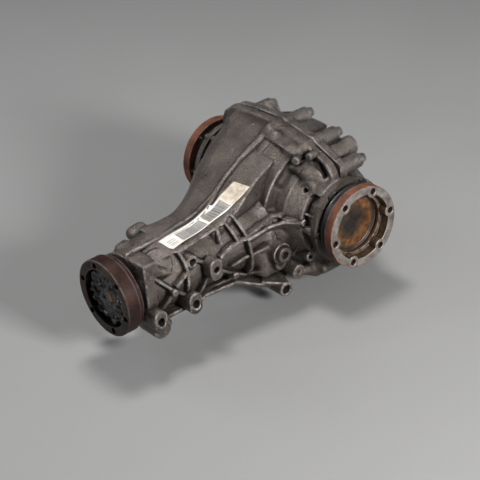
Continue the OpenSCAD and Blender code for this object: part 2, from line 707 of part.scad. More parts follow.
// Right side: face at right_face_x, stub reaching in to the side gear centred at gear_x
module output_flange(gear_x) difference() {
    union() {
        difference() {
            along_x(right_face_x - flange_t, right_face_x, out_od / 2);
            difference() {
                along_x(right_face_x - 12, right_face_x + 1, 43);
                around_x(out_pcd / 2, 6, 5) along_x(right_face_x - 13, right_face_x + 2, 8.4);
            }
            along_x(right_face_x - 14, right_face_x - 11.9, cup_r);
        }
        along_x(87, right_face_x - 12.5, cup_wall_r);
        along_x(50, 88, seal_land_r);
        along_x(gear_x + 8.6, 51, stub_r);
    }
    along_x(right_face_x - cup_depth, right_face_x - 11, cup_r);
    around_x(out_pcd / 2, 6, 5) along_x(right_face_x - 20, right_face_x + 5, out_hole_d / 2);
    difference() {
        along_x(gear_x + groove_x[0], gear_x + groove_x[1], stub_r + 1);
        along_x(gear_x + 9, gear_x + 11, stub_r - 1.4);
    }
}
module circlip(gear_x)
    tube_x(gear_x + groove_x[0] + fit, gear_x + groove_x[1] - fit, stub_r - 1.4 + fit, 16);
module dust_ring(r_out)
    tube_x(right_face_x - 22.5, right_face_x - flange_t - fit, cup_wall_r + fit, r_out);
module left_output_flange() color(rust) at_axle() left_side() output_flange(left_gear_x);
module right_output_flange() color(rust) at_axle() output_flange(diff_x);
module left_circlip() color(dark_steel) at_axle() left_side() circlip(left_gear_x);
module right_circlip() color(dark_steel) at_axle() circlip(diff_x);
module left_dust_ring() color(black) at_axle() left_side() dust_ring(46);
module right_dust_ring() color(black) at_axle() dust_ring(53);

main_housing();
rear_cover();
cover_gasket();
cover_bolts();
cover_dowels();
left_bearing_carrier();
right_bearing_carrier();
carrier_bolts();
carrier_o_rings();
fill_plug();
drain_plug();
plug_washers();
breather();
pinion_oil_seal();
left_output_seal();
right_output_seal();
pinion_head_cup();
pinion_nose_cup();
left_side_cup();
right_side_cup();
pinion_depth_shim();
side_bearing_shims();
pinion_gear();
pinion_head_cone();
pinion_nose_cone();
crush_sleeve();
input_flange();
pinion_nut();
input_slinger();
head_rollers();
head_cage();
nose_rollers();
nose_cage();
left_side_rollers();
left_side_cage();
right_side_rollers();
right_side_cage();
diff_case();
ring_gear();
ring_gear_bolts();
cross_pin();
cross_pin_lock();
left_side_cone();
right_side_cone();
side_gear_washers();
spider_washers();
left_side_gear();
left_output_flange();
left_circlip();
left_dust_ring();
right_side_gear();
right_output_flange();
right_circlip();
right_dust_ring();
upper_spider_gear();
lower_spider_gear();
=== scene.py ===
import bpy
import json
import math
import numpy as np
from mathutils import Matrix, Vector

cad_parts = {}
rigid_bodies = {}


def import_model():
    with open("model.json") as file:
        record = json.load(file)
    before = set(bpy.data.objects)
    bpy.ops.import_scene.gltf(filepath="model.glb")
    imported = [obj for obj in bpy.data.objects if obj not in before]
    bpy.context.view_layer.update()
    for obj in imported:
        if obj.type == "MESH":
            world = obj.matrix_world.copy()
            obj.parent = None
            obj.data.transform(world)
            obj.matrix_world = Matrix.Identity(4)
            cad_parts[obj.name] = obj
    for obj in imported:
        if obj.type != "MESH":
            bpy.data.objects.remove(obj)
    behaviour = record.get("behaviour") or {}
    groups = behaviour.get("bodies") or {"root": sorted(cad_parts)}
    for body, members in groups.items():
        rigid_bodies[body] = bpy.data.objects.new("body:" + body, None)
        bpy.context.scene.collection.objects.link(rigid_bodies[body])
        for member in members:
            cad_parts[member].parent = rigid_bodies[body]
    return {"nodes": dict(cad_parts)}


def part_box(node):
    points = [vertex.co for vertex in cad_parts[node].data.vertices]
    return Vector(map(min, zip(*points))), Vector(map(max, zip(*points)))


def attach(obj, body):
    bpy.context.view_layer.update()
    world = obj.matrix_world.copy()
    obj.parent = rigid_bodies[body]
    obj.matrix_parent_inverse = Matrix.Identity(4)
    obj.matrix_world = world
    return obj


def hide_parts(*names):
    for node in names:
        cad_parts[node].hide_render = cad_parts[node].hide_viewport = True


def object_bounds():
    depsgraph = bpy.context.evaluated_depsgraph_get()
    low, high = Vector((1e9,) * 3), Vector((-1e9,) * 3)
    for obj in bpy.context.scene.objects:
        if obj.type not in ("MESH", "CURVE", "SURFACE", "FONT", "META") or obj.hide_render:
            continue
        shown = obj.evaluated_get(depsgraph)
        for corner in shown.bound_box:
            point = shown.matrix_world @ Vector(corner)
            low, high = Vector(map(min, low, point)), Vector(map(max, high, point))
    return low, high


bpy.ops.object.select_all(action="SELECT")
bpy.ops.object.delete()
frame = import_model()
cad_low, cad_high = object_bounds()
MM = 0.001
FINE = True

# The castings and flanges are drawn in millimetres from the crossing of the pinion's and the
# output flanges' axes. AXLE is where that crossing is.
flange_low, flange_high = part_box("right_output_flange")
AXLE = np.array([0.0, (flange_low.y + flange_high.y) / 2, (flange_low.z + flange_high.z) / 2])


# ---- signed distance fields, in millimetres from the crossing of the axes ---------------
# A shape is a distance function, negative inside, with the low and high corners of its box.

NO_LIMIT = np.full(3, np.inf)


def smooth_min(a, b, k):
    """The smaller of two distances, with a round transition of width k."""
    if k <= 0:
        return np.minimum(a, b)
    h = np.maximum(k - np.abs(a - b), 0) / k
    return np.minimum(a, b) - h * h * k / 4


class Field:
    """Distances to a body's surface on a grid of points."""

    def __init__(self, low, high, voxel):
        self.voxel = voxel
        self.low = np.array(low, float)
        count = np.ceil((np.array(high, float) - self.low) / voxel).astype(int) + 1
        self.axes = [(self.low[i] + voxel * np.arange(count[i])).astype(np.float32) for i in range(3)]
        self.d = np.full(count, 40, np.float32)

    def part(self, shape, blend):
        """The part of the grid round a shape, and the coordinates of its points."""
        margin = blend + 2.5 * self.voxel
        low, high = shape[1] - margin, shape[2] + margin
        window = []
        for axis, a, b in zip(self.axes, low, high):
            window.append(slice(np.searchsorted(axis, a), np.searchsorted(axis, b)))
        x, y, z = [axis[span] for axis, span in zip(self.axes, window)]
        return tuple(window), (x[:, None, None], y[None, :, None], z[None, None, :])

    def add(self, shape, blend=0):
        """Adds a shape, with a fillet of this width where it meets the body."""
        window, xyz = self.part(shape, blend)
        if 0 not in self.d[window].shape:
            self.d[window] = smooth_min(self.d[window], shape[0](*xyz), blend)

    def cut(self, shape, blend=0):
        """Cuts a shape away, with its edges rounded by this width."""
        window, xyz = self.part(shape, blend)
        if 0 not in self.d[window].shape:
            self.d[window] = -smooth_min(-self.d[window], shape[0](*xyz), blend)


def rounded(a, b, edge):
    """Distance to a body with two kinds of side and a round edge between them.
    a and b are the distances to the two sides, both already larger by the edge's radius."""
    corner = np.sqrt(np.maximum(a, 0) ** 2 + np.maximum(b, 0) ** 2)
    return corner + np.minimum(np.maximum(a, b), 0) - edge


def box_of(*points, grow=0):
    """Box round the points, larger by this much on every side."""
    p = np.array(points, float)
    return p.min(0) - grow, p.max(0) + grow


def dot(u, dx, dy, dz):
    """How far the offset reaches along the direction u."""
    return dx * u[0] + dy * u[1] + dz * u[2]


def rod(p, q, r, r2=None, edge=1.0):
    """Round bar from p to q with flat ends, tapering from r to r2, its edges rounded."""
    p, q = np.array(p, float), np.array(q, float)
    r2 = r if r2 is None else r2
    long = np.linalg.norm(q - p)
    u = (q - p) / long

    def sd(x, y, z):
        dx, dy, dz = x - p[0], y - p[1], z - p[2]
        t = dot(u, dx, dy, dz)
        rho = np.sqrt(np.maximum(dx * dx + dy * dy + dz * dz - t * t, 0))
        a = rho - (r + (r2 - r) * np.clip(t / long, 0, 1)) + edge
        b = np.abs(t - long / 2) - long / 2 + edge
        return rounded(a, b, edge)
    return sd, *box_of(p, q, grow=max(r, r2))


def x_rod(x0, x1, *radii, at=(0, 0), edge=1.0):
    """Rod along x at this (y, z)."""
    return rod((x0, *at), (x1, *at), *radii, edge=edge)


def y_rod(y0, y1, *radii, at=(0, 0), edge=1.0):
    """Rod along y at this (x, z)."""
    return rod((at[0], y0, at[1]), (at[0], y1, at[1]), *radii, edge=edge)


def bar(p, q, r, r2=None):
    """Bar with round ends from p to q."""
    p, q = np.array(p, float), np.array(q, float)
    r2 = r if r2 is None else r2
    v = q - p
    vv = max(float(v @ v), 1e-6)

    def sd(x, y, z):
        dx, dy, dz = x - p[0], y - p[1], z - p[2]
        t = np.clip(dot(v, dx, dy, dz) / vv, 0, 1)
        off = np.sqrt((dx - t * v[0]) ** 2 + (dy - t * v[1]) ** 2 + (dz - t * v[2]) ** 2)
        return off - (r + (r2 - r) * t)
    return sd, *box_of(p, q, grow=max(r, r2))


def block(centre, half, edge=1.5, axes=None):
    """Box with rounded edges; axes are its own unit directions."""
    c, h = np.array(centre, float), np.array(half, float)
    m = np.eye(3) if axes is None else np.array(axes, float)

    def sd(x, y, z):
        dx, dy, dz = x - c[0], y - c[1], z - c[2]
        q = [np.abs(dot(m[i], dx, dy, dz)) - h[i] + edge for i in range(3)]
        out = sum(np.maximum(v, 0) ** 2 for v in q)
        return np.sqrt(out) + np.minimum(np.maximum(np.maximum(q[0], q[1]), q[2]), 0) - edge
    reach = np.abs(m.T) @ h
    return sd, c - reach, c + reach


def fin(p, q, into, deep, thick, edge=1.2):
    """Plate whose outer edge runs from p to q and which reaches deep along the direction into."""
    p, q = np.array(p, float), np.array(q, float)
    u = (q - p) / np.linalg.norm(q - p)
    w = np.array(into, float)
    w = w - (w @ u) * u
    w /= np.linalg.norm(w)
    v = np.cross(u, w)
    c = (p + q) / 2 + w * deep / 2
    return block(c, [np.linalg.norm(q - p) / 2 + thick / 2, thick / 2, deep / 2], edge, [u, v, w])


def slab(outline, y0, y1, edge=1.5):
    """Outline in the x-z plane, extruded from y0 to y1."""
    pts = np.array(outline, float)

    def sd(x, y, z):
        x2, z2 = np.broadcast_arrays(x[:, 0, 0][:, None], z[0, 0, :][None, :])
        best = np.full(x2.shape, 1e9, np.float32)
        inside = np.zeros(x2.shape, bool)
        for (ax, az), (bx, bz) in zip(pts, np.roll(pts, -1, 0)):
            ex, ez = bx - ax, bz - az
            wx, wz = x2 - ax, z2 - az
            t = np.clip((wx * ex + wz * ez) / (ex * ex + ez * ez), 0, 1)
            best = np.minimum(best, (wx - ex * t) ** 2 + (wz - ez * t) ** 2)
            rise = ez if abs(ez) > 1e-9 else 1e-9
            inside ^= ((az > z2) != (bz > z2)) & (x2 < ex * (z2 - az) / rise + ax)
        d2 = np.sqrt(best) * np.where(inside, -1, 1)
        a = d2[:, None, :] + edge
        b = np.abs(y - (y0 + y1) / 2) - (y1 - y0) / 2 + edge
        return rounded(a, b, edge)
    low = [pts[:, 0].min(), y0, pts[:, 1].min()]
    high = [pts[:, 0].max(), y1, pts[:, 1].max()]
    return sd, *box_of(low, high)


def smooth_line(knots, values, at):
    """Smooth curve through the values at the knots (Catmull-Rom)."""
    k, v = np.array(knots, float), np.array(values, float)
    m = np.gradient(v, k)
    i = np.clip(np.searchsorted(k, at) - 1, 0, len(k) - 2)
    h = k[i + 1] - k[i]
    t = np.clip((at - k[i]) / h, 0, 1)
    return ((2 * t**3 - 3 * t**2 + 1) * v[i] + (t**3 - 2 * t**2 + t) * h * m[i]
            + (-2 * t**3 + 3 * t**2) * v[i + 1] + (t**3 - t**2) * h * m[i + 1])


def revolved(knots, radii, slope=0.95):
    """Body of revolution about the pinion axis: radius through the knots along y.
    slope makes up for a wall that isn't parallel to the axis."""
    def sd(x, y, z):
        r = smooth_line(knots, radii, y)
        a = (np.sqrt(x * x + z * z) - r) * slope
        b = np.maximum(knots[0] - y, y - knots[-1])
        return np.maximum(a, b)
    big = max(radii)
    return sd, *box_of([-big, knots[0], -big], [big, knots[-1], big])


def loft(knots, left, right, bottom, top, corner, slope=0.9):
    """Rounded box section along y; each side follows its own curve through the knots.
    corner holds the radii of the left corners at each knot; the right ones are hidden."""
    hidden_corner = 2.0

    def sd(x, y, z):
        l, r = smooth_line(knots, left, y), smooth_line(knots, right, y)
        b, t = smooth_line(knots, bottom, y), smooth_line(knots, top, y)
        big = smooth_line(knots, corner, y)
        cx, cz = (l + r) / 2, (b + t) / 2
        dx, dz = x - cx, z - cz
        e = np.where(dx < 0, big, hidden_corner)
        qx = np.abs(dx) - (r - l) / 2 + e
        qz = np.abs(dz) - (t - b) / 2 + e
        ends = np.maximum(knots[0] - y, y - knots[-1])
        return np.maximum(rounded(qx, qz, e) * slope, ends)
    low = [min(left), knots[0], min(bottom)]
    high = [max(right), knots[-1], max(top)]
    return sd, *box_of(low, high)


def both(a, b):
    """Where two shapes overlap."""
    def sd(x, y, z):
        return np.maximum(a[0](x, y, z), b[0](x, y, z))
    return sd, np.maximum(a[1], b[1]), np.minimum(a[2], b[2])


def mirrored(shape, mid=0.0):
    """The shape mirrored left to right about the plane x = mid."""
    def sd(x, y, z):
        return shape[0](2 * mid - x, y, z)
    low, high = shape[1].copy(), shape[2].copy()
    low[0], high[0] = 2 * mid - shape[2][0], 2 * mid - shape[1][0]
    return sd, low, high


def outside_posts(places, r, axis):
    """Everything outside round posts of radius r along an axis: 0 is x and 1 is y.
    places are their other coordinates."""
    def sd(x, y, z):
        u, along = (y, x) if axis == 0 else (x, y)
        near = np.minimum.reduce([np.sqrt((u - a) ** 2 + (z - b) ** 2) for a, b in places])
        return r - near + 0 * along
    return sd, -NO_LIMIT, NO_LIMIT


def ring_of(count, start, r):
    """Places round an axis at the origin, the first at the angle start in degrees."""
    turns = np.radians(start + np.arange(count) * 360 / count)
    return [(r * np.cos(a), r * np.sin(a)) for a in turns]


def steps(points):
    """Each point with the next one."""
    return zip(points[:-1], points[1:])


def wall_lines(lines, thick):
    """Distance to endless walls along x: each line's points are (y, z)."""
    def sd(x, y, z):
        best = np.full(np.broadcast(y, z).shape, 1e9, np.float32)
        for line in lines:
            for (ay, az), (by, bz) in steps(line):
                ey, ez = by - ay, bz - az
                t = np.clip(((y - ay) * ey + (z - az) * ez) / (ey * ey + ez * ez), 0, 1)
                best = np.minimum(best, (y - ay - t * ey) ** 2 + (z - az - t * ez) ** 2)
        return np.sqrt(best) - thick / 2 + 0 * x
    return sd


def oval_pad(x0, x1, y, z, r, half):
    """Boss along x with an upright oval face."""
    edge = 1

    def sd(px, py, pz):
        dz = np.maximum(np.abs(pz - z) - half, 0)
        a = np.sqrt((py - y) ** 2 + dz ** 2) - r + edge
        b = np.abs(px - (x0 + x1) / 2) - (x1 - x0) / 2 + edge
        return rounded(a, b, edge)
    return sd, *box_of([x0, y - r, z - r - half], [x1, y + r, z + r + half])


# ---- sizes of the castings --------------------------------------------------------------

# The two output flanges mirror each other about this x.
MID_X = -36.0
# Outline of the flange where the castings meet, (x, z)
JOINT = [(-141, -82), (-141, 74), (-134, 87), (-118, 97), (-84, 102), (-40, 104), (-2, 99), (26, 92),
         (52, 82), (65, 76), (73, 65), (75.5, 46), (75.5, -46), (60, -76), (20, -92), (-40, -98),
         (-110, -96)]
# Cover bolts, (x, z), and how deep each one reaches into the main casting
COVER_BOLTS = [(-104, 84), (-31, 95), (22, 85), (64, 62), (-126, -78), (-84, -90), (12, -87), (62, -66)]
BOLT_DEPTHS = (26, 21, 10, 6, 30, 30, 30, 30)
BOLT_HOLE = 4.2
# A seat thinner than this stays inside the joint flange.
THIN_SEAT = 8
# Where the cover bolts' heads sit, along y
HEAD_Y = 42.0
# Threaded bosses on the back of the cover, (x, z)
MOUNT_BOSSES = [(32, 65), (-118, 65)]
# Mounting pads on both sides of the neck
PAD_Y = (-283, -230)
PAD_Z = -24
THREAD_HOLE = 5.1
# Screws of the side bearing carriers
SCREW_CIRCLE = 51
# Radii of the hollows: carrier bore, differential case, ring gear
CARRIER_BORE = 46
CASE_ROOM = 48.5
GEAR_ROOM = 88
# Thread of the fill and drain plugs; the fill plug's x and (y, z), the drain plug's y and (x, z)
PLUG_HOLE = 9.1
FILL_X = 60
FILL_AT = (-90, -19)
DRAIN_Y = 92
DRAIN_AT = (-37, -50)
# Breather on the cover, (x, z)
BREATHER_AT = (-104, 40)
# Stations of the neck along the pinion and its radius at each
NECK_Y = [-288, -262, -255, -175, -155, -138, -120, -100, -80, -55]
NECK_R = [46, 46.5, 49, 49, 50.5, 52, 53, 50, 44, 38]
# Radius of the bulge on the neck's lower right, at its own stations
BULGE_Y = [-150, -138, -120, -100, -80, -60, -40]
BULGE_R = [49, 53, 55, 56, 57, 58, 58]
# Cast ribs on the neck's side, (y, z)
HOOP_RIBS = [
    [(-230, 44), (-227, 26), (-228, 14), (-231, -8), (-234, -36)],
    [(-137, 46), (-135, 33), (-133, 19), (-133, 5), (-132, -8), (-128, -34), (-130, -60)],
]
LONG_RIBS = [
    [(-174, 10), (-158, 16.5), (-133, 19.5), (-110, 23), (-83, 24), (-56, 12)],
    [(-194, 2), (-175, -9), (-157, -23), (-117, -52), (-92, -70)],
    [(-270, 36), (-270, 21), (-252, 0), (-262, -25)],
    [(-228, 15), (-246, 3)],
    [(-164, 40), (-169, 26)],
    [(-159, -9), (-138, -4)],
    [(-130, -4), (-108, -3)],
    [(-195, 4), (-209, -27)],
    [(-250, -1), (-231, -18)],
    [(-194, 8), (-212, 24), (-227, 22)],
    [(-151, 44), (-146, 18)],
]
# Upper edge of the pockets between the ribs, (y, z)
BAND_EDGE = [(-262, 41), (-225, 37), (-192, 36.5), (-168, 38), (-150, 41), (-135, 46), (-112, 52),
             (-90, 58), (-58, 62)]


# ---- the main casting -------------------------------------------------------------------

def strap(knots, left, left_z, right, right_z, edge=1.2):
    """Band along y whose flat top runs from its left line down to its right line.
    Below its top it is solid."""
    overhang = 6

    def sd(x, y, z):
        l, r = smooth_line(knots, left, y), smooth_line(knots, right, y)
        lz, rz = smooth_line(knots, left_z, y), smooth_line(knots, right_z, y)
        tilt = (rz - lz) / (r - l)
        top = (z - lz - tilt * (x - l)) * 0.8 + edge
        side = np.maximum(x - r, l - overhang - x) * 0.9 + edge
        ends = np.maximum(knots[0] - y, y - knots[-1])
        return np.maximum(np.maximum(rounded(top, side, edge), -z), ends)
    low = [min(left) - overhang, knots[0], 0]
    high = [max(right) + 1, knots[-1], max(left_z) + 1]
    return sd, *box_of(low, high)


def side_pockets(depth):
    """Hollows between the ribs on the right of the neck, down to this depth below its surface.
    Round the pinion's bearing and its gear the floor keeps a wall over the bore."""
    ribs = wall_lines(HOOP_RIBS + LONG_RIBS, 4.2)
    edge_y, edge_z = zip(*BAND_EDGE)
    front, back, inner_x, lower_z = -273, -58, 12, -34
    # where the bearing and the gear begin, and the least radius left over each
    bearing_y, bearing_r = -130, 43.5
    gear_y, gear_r = -87, 36.5

    def sd(x, y, z):
        rho = np.sqrt(x * x + z * z)
        floor = smooth_line(NECK_Y, NECK_R, y) - depth
        over_bore = np.where(y > gear_y, gear_r, bearing_r)
        floor = np.where(y > bearing_y, np.maximum(floor, over_bore), floor) - rho
        top = z - smooth_line(edge_y, edge_z, y)
        bottom = lower_z + np.minimum(0, (y + 165) * -0.25) * 0.8 - z
        ends = np.maximum(front - y, y - back)
        walls = np.maximum(np.maximum(floor, top), np.maximum(bottom, ends))
        return np.maximum(np.maximum(walls, -ribs(x, y, z)), inner_x - x)
    return sd, *box_of([8, front - 2, -70], [84, back + 4, 62])


def add_neck(f):
    """Neck with its bulge, the pockets between its ribs, and the strap that carries the label."""
    f.add(revolved(NECK_Y, NECK_R), 2)
    f.add(both(revolved(BULGE_Y, BULGE_R), block((60, -90, -54), (60, 54, 58), 2)), 1)
    f.add(both(revolved(BULGE_Y, BULGE_R), block((58, -98, 4), (14, 44, 15.5), 1.5)), 1)
    f.cut(side_pockets(8), 1.2)
    f.cut(mirrored(side_pockets(7)), 1.2)
    # the strap leaves the neck and lands on the drum at a tangent
    f.add(strap([-172, -150, -131, -115, -101, -79, -54, -36],
                [9, 2, -6, -15, -21, -27, -30, -31], [48, 52, 61, 66, 70, 76, 83.5, 88],
                [31, 29, 26, 23, 20, 14, 8, 4], [36, 39.5, 45.5, 54, 62, 70, 75.5, 81]), 0.6)


def add_drum(f):
    """Drum over the ring gear, the side bearing bosses and the shoulder from the drum to the neck."""
    f.add(x_rod(-70, -12, 97, edge=8), 0)
    f.add(x_rod(-14, 23, 95.5, 88, edge=1.5), 0)
    f.add(x_rod(-141, -60, 60, 84, edge=4), 14)
    # cones down to the right output, with a groove at the foot of the first
    f.add(x_rod(10, 41, 81, 71, edge=2), 5)
    f.cut(bar((28.5, -38, 71), (27.5, -58, 55), 6.5), 3)
    f.add(x_rod(38, 60, 72, 57), 1)
    f.add(x_rod(56, 76, 49, edge=0.8), 0)
    f.add(loft([-240, -175, -138, -108, -75, -42, -20, -2],
               [-40, -46, -66, -88, -106, -121, -130, -138],
               [9, 10, -3, -18, -28, -31, -33, -35],
               [0, -20, -36, -50, -62, -72, -78, -80],
               [51.5, 52, 62, 71, 79, 89, 95, 97],
               [22, 26, 34, 38, 39, 41, 40, 26]), 1.5)


def add_ridges(f):
    """Ridge from the drum down along the label to the neck's front."""
    f.add(bar((-31, -36, 91), (-27, -80, 77), 4.6, 2.6), 1.5)
    for p, q in steps([(-31, -42, 90), (-28, -75, 78), (-18, -108, 70), (-7, -138, 61),
                       (-0.5, -172, 52), (9, -240, 50), (7, -284, 48.5)]):
        f.add(bar(p, q, 2.4), 1.2)


def add_joint_flange(f):
    """Flange towards the cover with the thick band in front of it and the bolts' seats."""
    band = x_rod(-39, 28, 101, 93.5, edge=4)
    f.add(both(band, block((-5.5, -16, 90), (33.5, 17, 60), 5)), 3)
    f.add(slab(JOINT, -13, 0, 3), 6)
    f.add(bar((-28, -23, 94), (-17, -24, 94), 8.5, 7), 5)
    f.add(bar((16, -27, 85), (25, -24, 83), 8, 8), 6)
    for (x, z), deep in zip(COVER_BOLTS, BOLT_DEPTHS):
        if deep > THIN_SEAT:
            f.add(y_rod(-deep - 4, 0, 8.5, at=(x, z), edge=4), 7)


def add_lumps(f):
    """Rib along the top of the bulge, and the knobs and rounded lumps on the drum's right."""
    for p, q in steps([(51, -133, 19), (54, -101, 24), (60, -84, 25), (61, -54, 11)]):
        f.add(fin(p, q, (-0.6, 0, -1), 10, 4.4), 1)
    f.add(x_rod(50, 63, 4.5, at=(-53, 10)), 1)
    # knobs by the joint flange
    f.add(bar((30, -20, 66), (46, -8, 62), 9, 8), 5)
    f.add(bar((25, -35, 67), (37, -33, 68), 4.5, 5), 3)
    f.add(bar((37, -33, 68), (43, -20, 73), 5, 5), 3)
    f.add(rod((29, -28, 81), (38.5, -40, 83.5), 5.2), 1.5)
    f.add(rod((42, -10, 84), (46, -25, 86), 5.0), 1.5)
    # lump with a hole, and the wall between it and the slot behind the carrier
    f.add(bar((45, -24, 62), (61, -7, 53), 14, 12), 3)
    f.add(bar((50, -24, 48), (60, -14, 44), 14, 12), 3)
    f.add(rod((43, -16, 45), (52.5, -38, 48.5), 13, edge=5), 2)
    slot_wall = x_rod(54, 76, 57, edge=1.5)
    f.add(both(slot_wall, block((65, -20, 59), (12, 24, 15), 4)), 4)
    f.add(block((50, -30, -52), (12, 16, 18), 6), 8)


def add_lower_side(f):
    """Lower bulge with the fill plug's boss and the small bosses behind it."""
    f.add(block((36, -94, -28), (14, 22, 24), 9), 12)
    f.add(x_rod(30, FILL_X, 16, 13.6, at=FILL_AT, edge=1.2), 3)
    f.add(x_rod(34, 57, 9, 8.5, at=(-91, -34), edge=1.5), 3)
    f.add(fin((44, -112, -60), (60, -93, -64), (-1, 0.2, 0.3), 34, 6), 3)
    f.add(x_rod(20, 70, 9.5, at=(-74, -49), edge=1.2), 3)
    f.add(x_rod(10, 62, 10, at=(-90, -71), edge=1.2), 4)
    f.add(x_rod(30, 62, 6.5, at=(-47, -43)), 4)
    f.add(bar((30, -20, -66), (58, -20, -62), 8), 8)
    f.add(bar((50, -60, -60), (54, -34, -74), 6), 6)


def add_pads_and_feet(f, left):
    """Mounting pads, front block, foot and lower ribs on one side of the neck."""
    def put(shape, blend):
        f.add(mirrored(shape) if left else shape, blend)

    for y in PAD_Y:
        put(bar((30, y, -29), (56, y, -29), 9), 3)
        put(oval_pad(34, 62, y, PAD_Z, 9.5, 5), 1)
    top, bottom = 26 if left else 42, -40
    put(block((38, -281, (top + bottom) / 2), (7.5, 7, (top - bottom) / 2), 2), 3)
    if not left:
        put(block((24, -277, 36), (21, 11, 11), 3), 2)
        put(bar((40, -272, 36), (44, -250, 22), 5, 3), 4)
    put(x_rod(20, 56, 13, at=(-278, bottom), edge=3), 3)
    put(x_rod(20, 50, 9, at=(-268, bottom), edge=3), 4)
    put(block((30, -240, -35.5), (15.5, 36, 2.6), 1.2), 1)
    put(fin((43, -208, -35), (40, -150, -42), (-1, 0, 0.1), 26, 5), 1)
    put(fin((40, -150, -42), (46, -106, -66), (-1, 0, 0.4), 30, 5), 2)


def add_neck_bosses(f):
    """Bosses that only the right side of the neck has, and the lumps on its upper left."""
    f.add(rod((10, -257, 10), (34, -257, 37), 17, edge=1.5), 2)
    f.add(oval_pad(46, 62, -194, 7, 9.5, 5), 1)
    f.add(x_rod(20, 46, 8.5, at=(-217, 22)), 2)
    f.add(x_rod(20, 50, 4.5, at=(-157, -24)), 1)
    f.add(x_rod(30, 54, 4.5, at=(-252, -2)), 1)
    f.add(bar((-34, -244, 43), (-36, -232, 43), 9), 3)
    f.add(bar((-22, -272, 38), (-24, -264, 38), 8), 3)


def add_carrier_seats(f):
    """Screw bosses and thin ribs in the slots behind both side bearing carriers."""
    rib_turn = 37
    places = zip(ring_of(6, 0, SCREW_CIRCLE), ring_of(6, rib_turn, 55), ring_of(6, rib_turn, 54))
    for (y, z), outer, inner in places:
        boss = x_rod(54, 76, 5.2, at=(y, z), edge=0.5)
        rib = fin((56, *outer), (75, *inner), (0, -outer[0], -outer[1]), 9, 2.8)
        for shape in (boss, rib):
            f.add(shape, 1)
            f.add(mirrored(shape, MID_X), 1)


def main_casting(voxel):
    """Main casting, hollow and with all its holes."""
    f = Field([-152, -294, -108], [84, 4, 112], voxel)
    add_neck(f)
    add_drum(f)
    add_ridges(f)
    add_joint_flange(f)
    add_lumps(f)
    add_lower_side(f)
    add_pads_and_feet(f, left=False)
    add_pads_and_feet(f, left=True)
    add_neck_bosses(f)
    add_carrier_seats(f)
    f.cut(block((MID_X, 102, 0), (200, 102, 200), 0))
    hollow_drum(f)
    hollow_neck(f)
    drill_main(f)
    return f


def hollow_drum(f):
    """Room for the side bearing carriers, the ring gear and the differential case."""
    carrier_bore = x_rod(-20, 100, CARRIER_BORE, edge=0)
    f.cut(carrier_bore)
    f.cut(mirrored(carrier_bore, MID_X))
    f.cut(x_rod(-66, -14, GEAR_ROOM, edge=4))
    f.cut(x_rod(-20, 21, CASE_ROOM, edge=0))


def hollow_neck(f):
    """Stepped bore for the pinion and its bearings, and the room behind the ring gear."""
    for y0, y1, r in ((-300, -100, 31.5), (-126, -90, 40), (-92, -50, 33)):
        f.cut(y_rod(y0, y1, r, edge=0))
    f.cut(y_rod(-40, -84, 44, 30, at=(-34, 0), edge=4))


def drill_main(f):
    """Holes for screws, bolts and the fill plug, and the open holes in the bosses."""
    for y, z in ring_of(6, 0, SCREW_CIRCLE):
        hole = x_rod(50, 90, 3.2, at=(y, z), edge=0)
        f.cut(hole)
        f.cut(mirrored(hole, MID_X))
    for (x, z), deep in zip(COVER_BOLTS, BOLT_DEPTHS):
        f.cut(y_rod(-deep, 5, BOLT_HOLE, at=(x, z), edge=0))
    for y in PAD_Y:
        hole = x_rod(38, 70, THREAD_HOLE, at=(y, PAD_Z), edge=0)
        f.cut(hole)
        f.cut(mirrored(hole))
    for x0, x1, y, z, r in ((40, 70, -194, 7, 4.2), (30, 60, -217, 22, 5), (45, 70, -90, -71, 6),
                            (55, 75, -74, -49, 1.8), (54, 70, -47, -43, 2.6)):
        f.cut(x_rod(x0, x1, r, at=(y, z), edge=0))
    f.cut(rod((47, -26, 45), (56, -46, 49), 3.2, edge=0))
    f.cut(bar((53, -15, 73), (62, -15, 61), 4.6), 2)
    f.cut(x_rod(20, 90, PLUG_HOLE, at=FILL_AT, edge=0))


# ---- the cover --------------------------------------------------------------------------

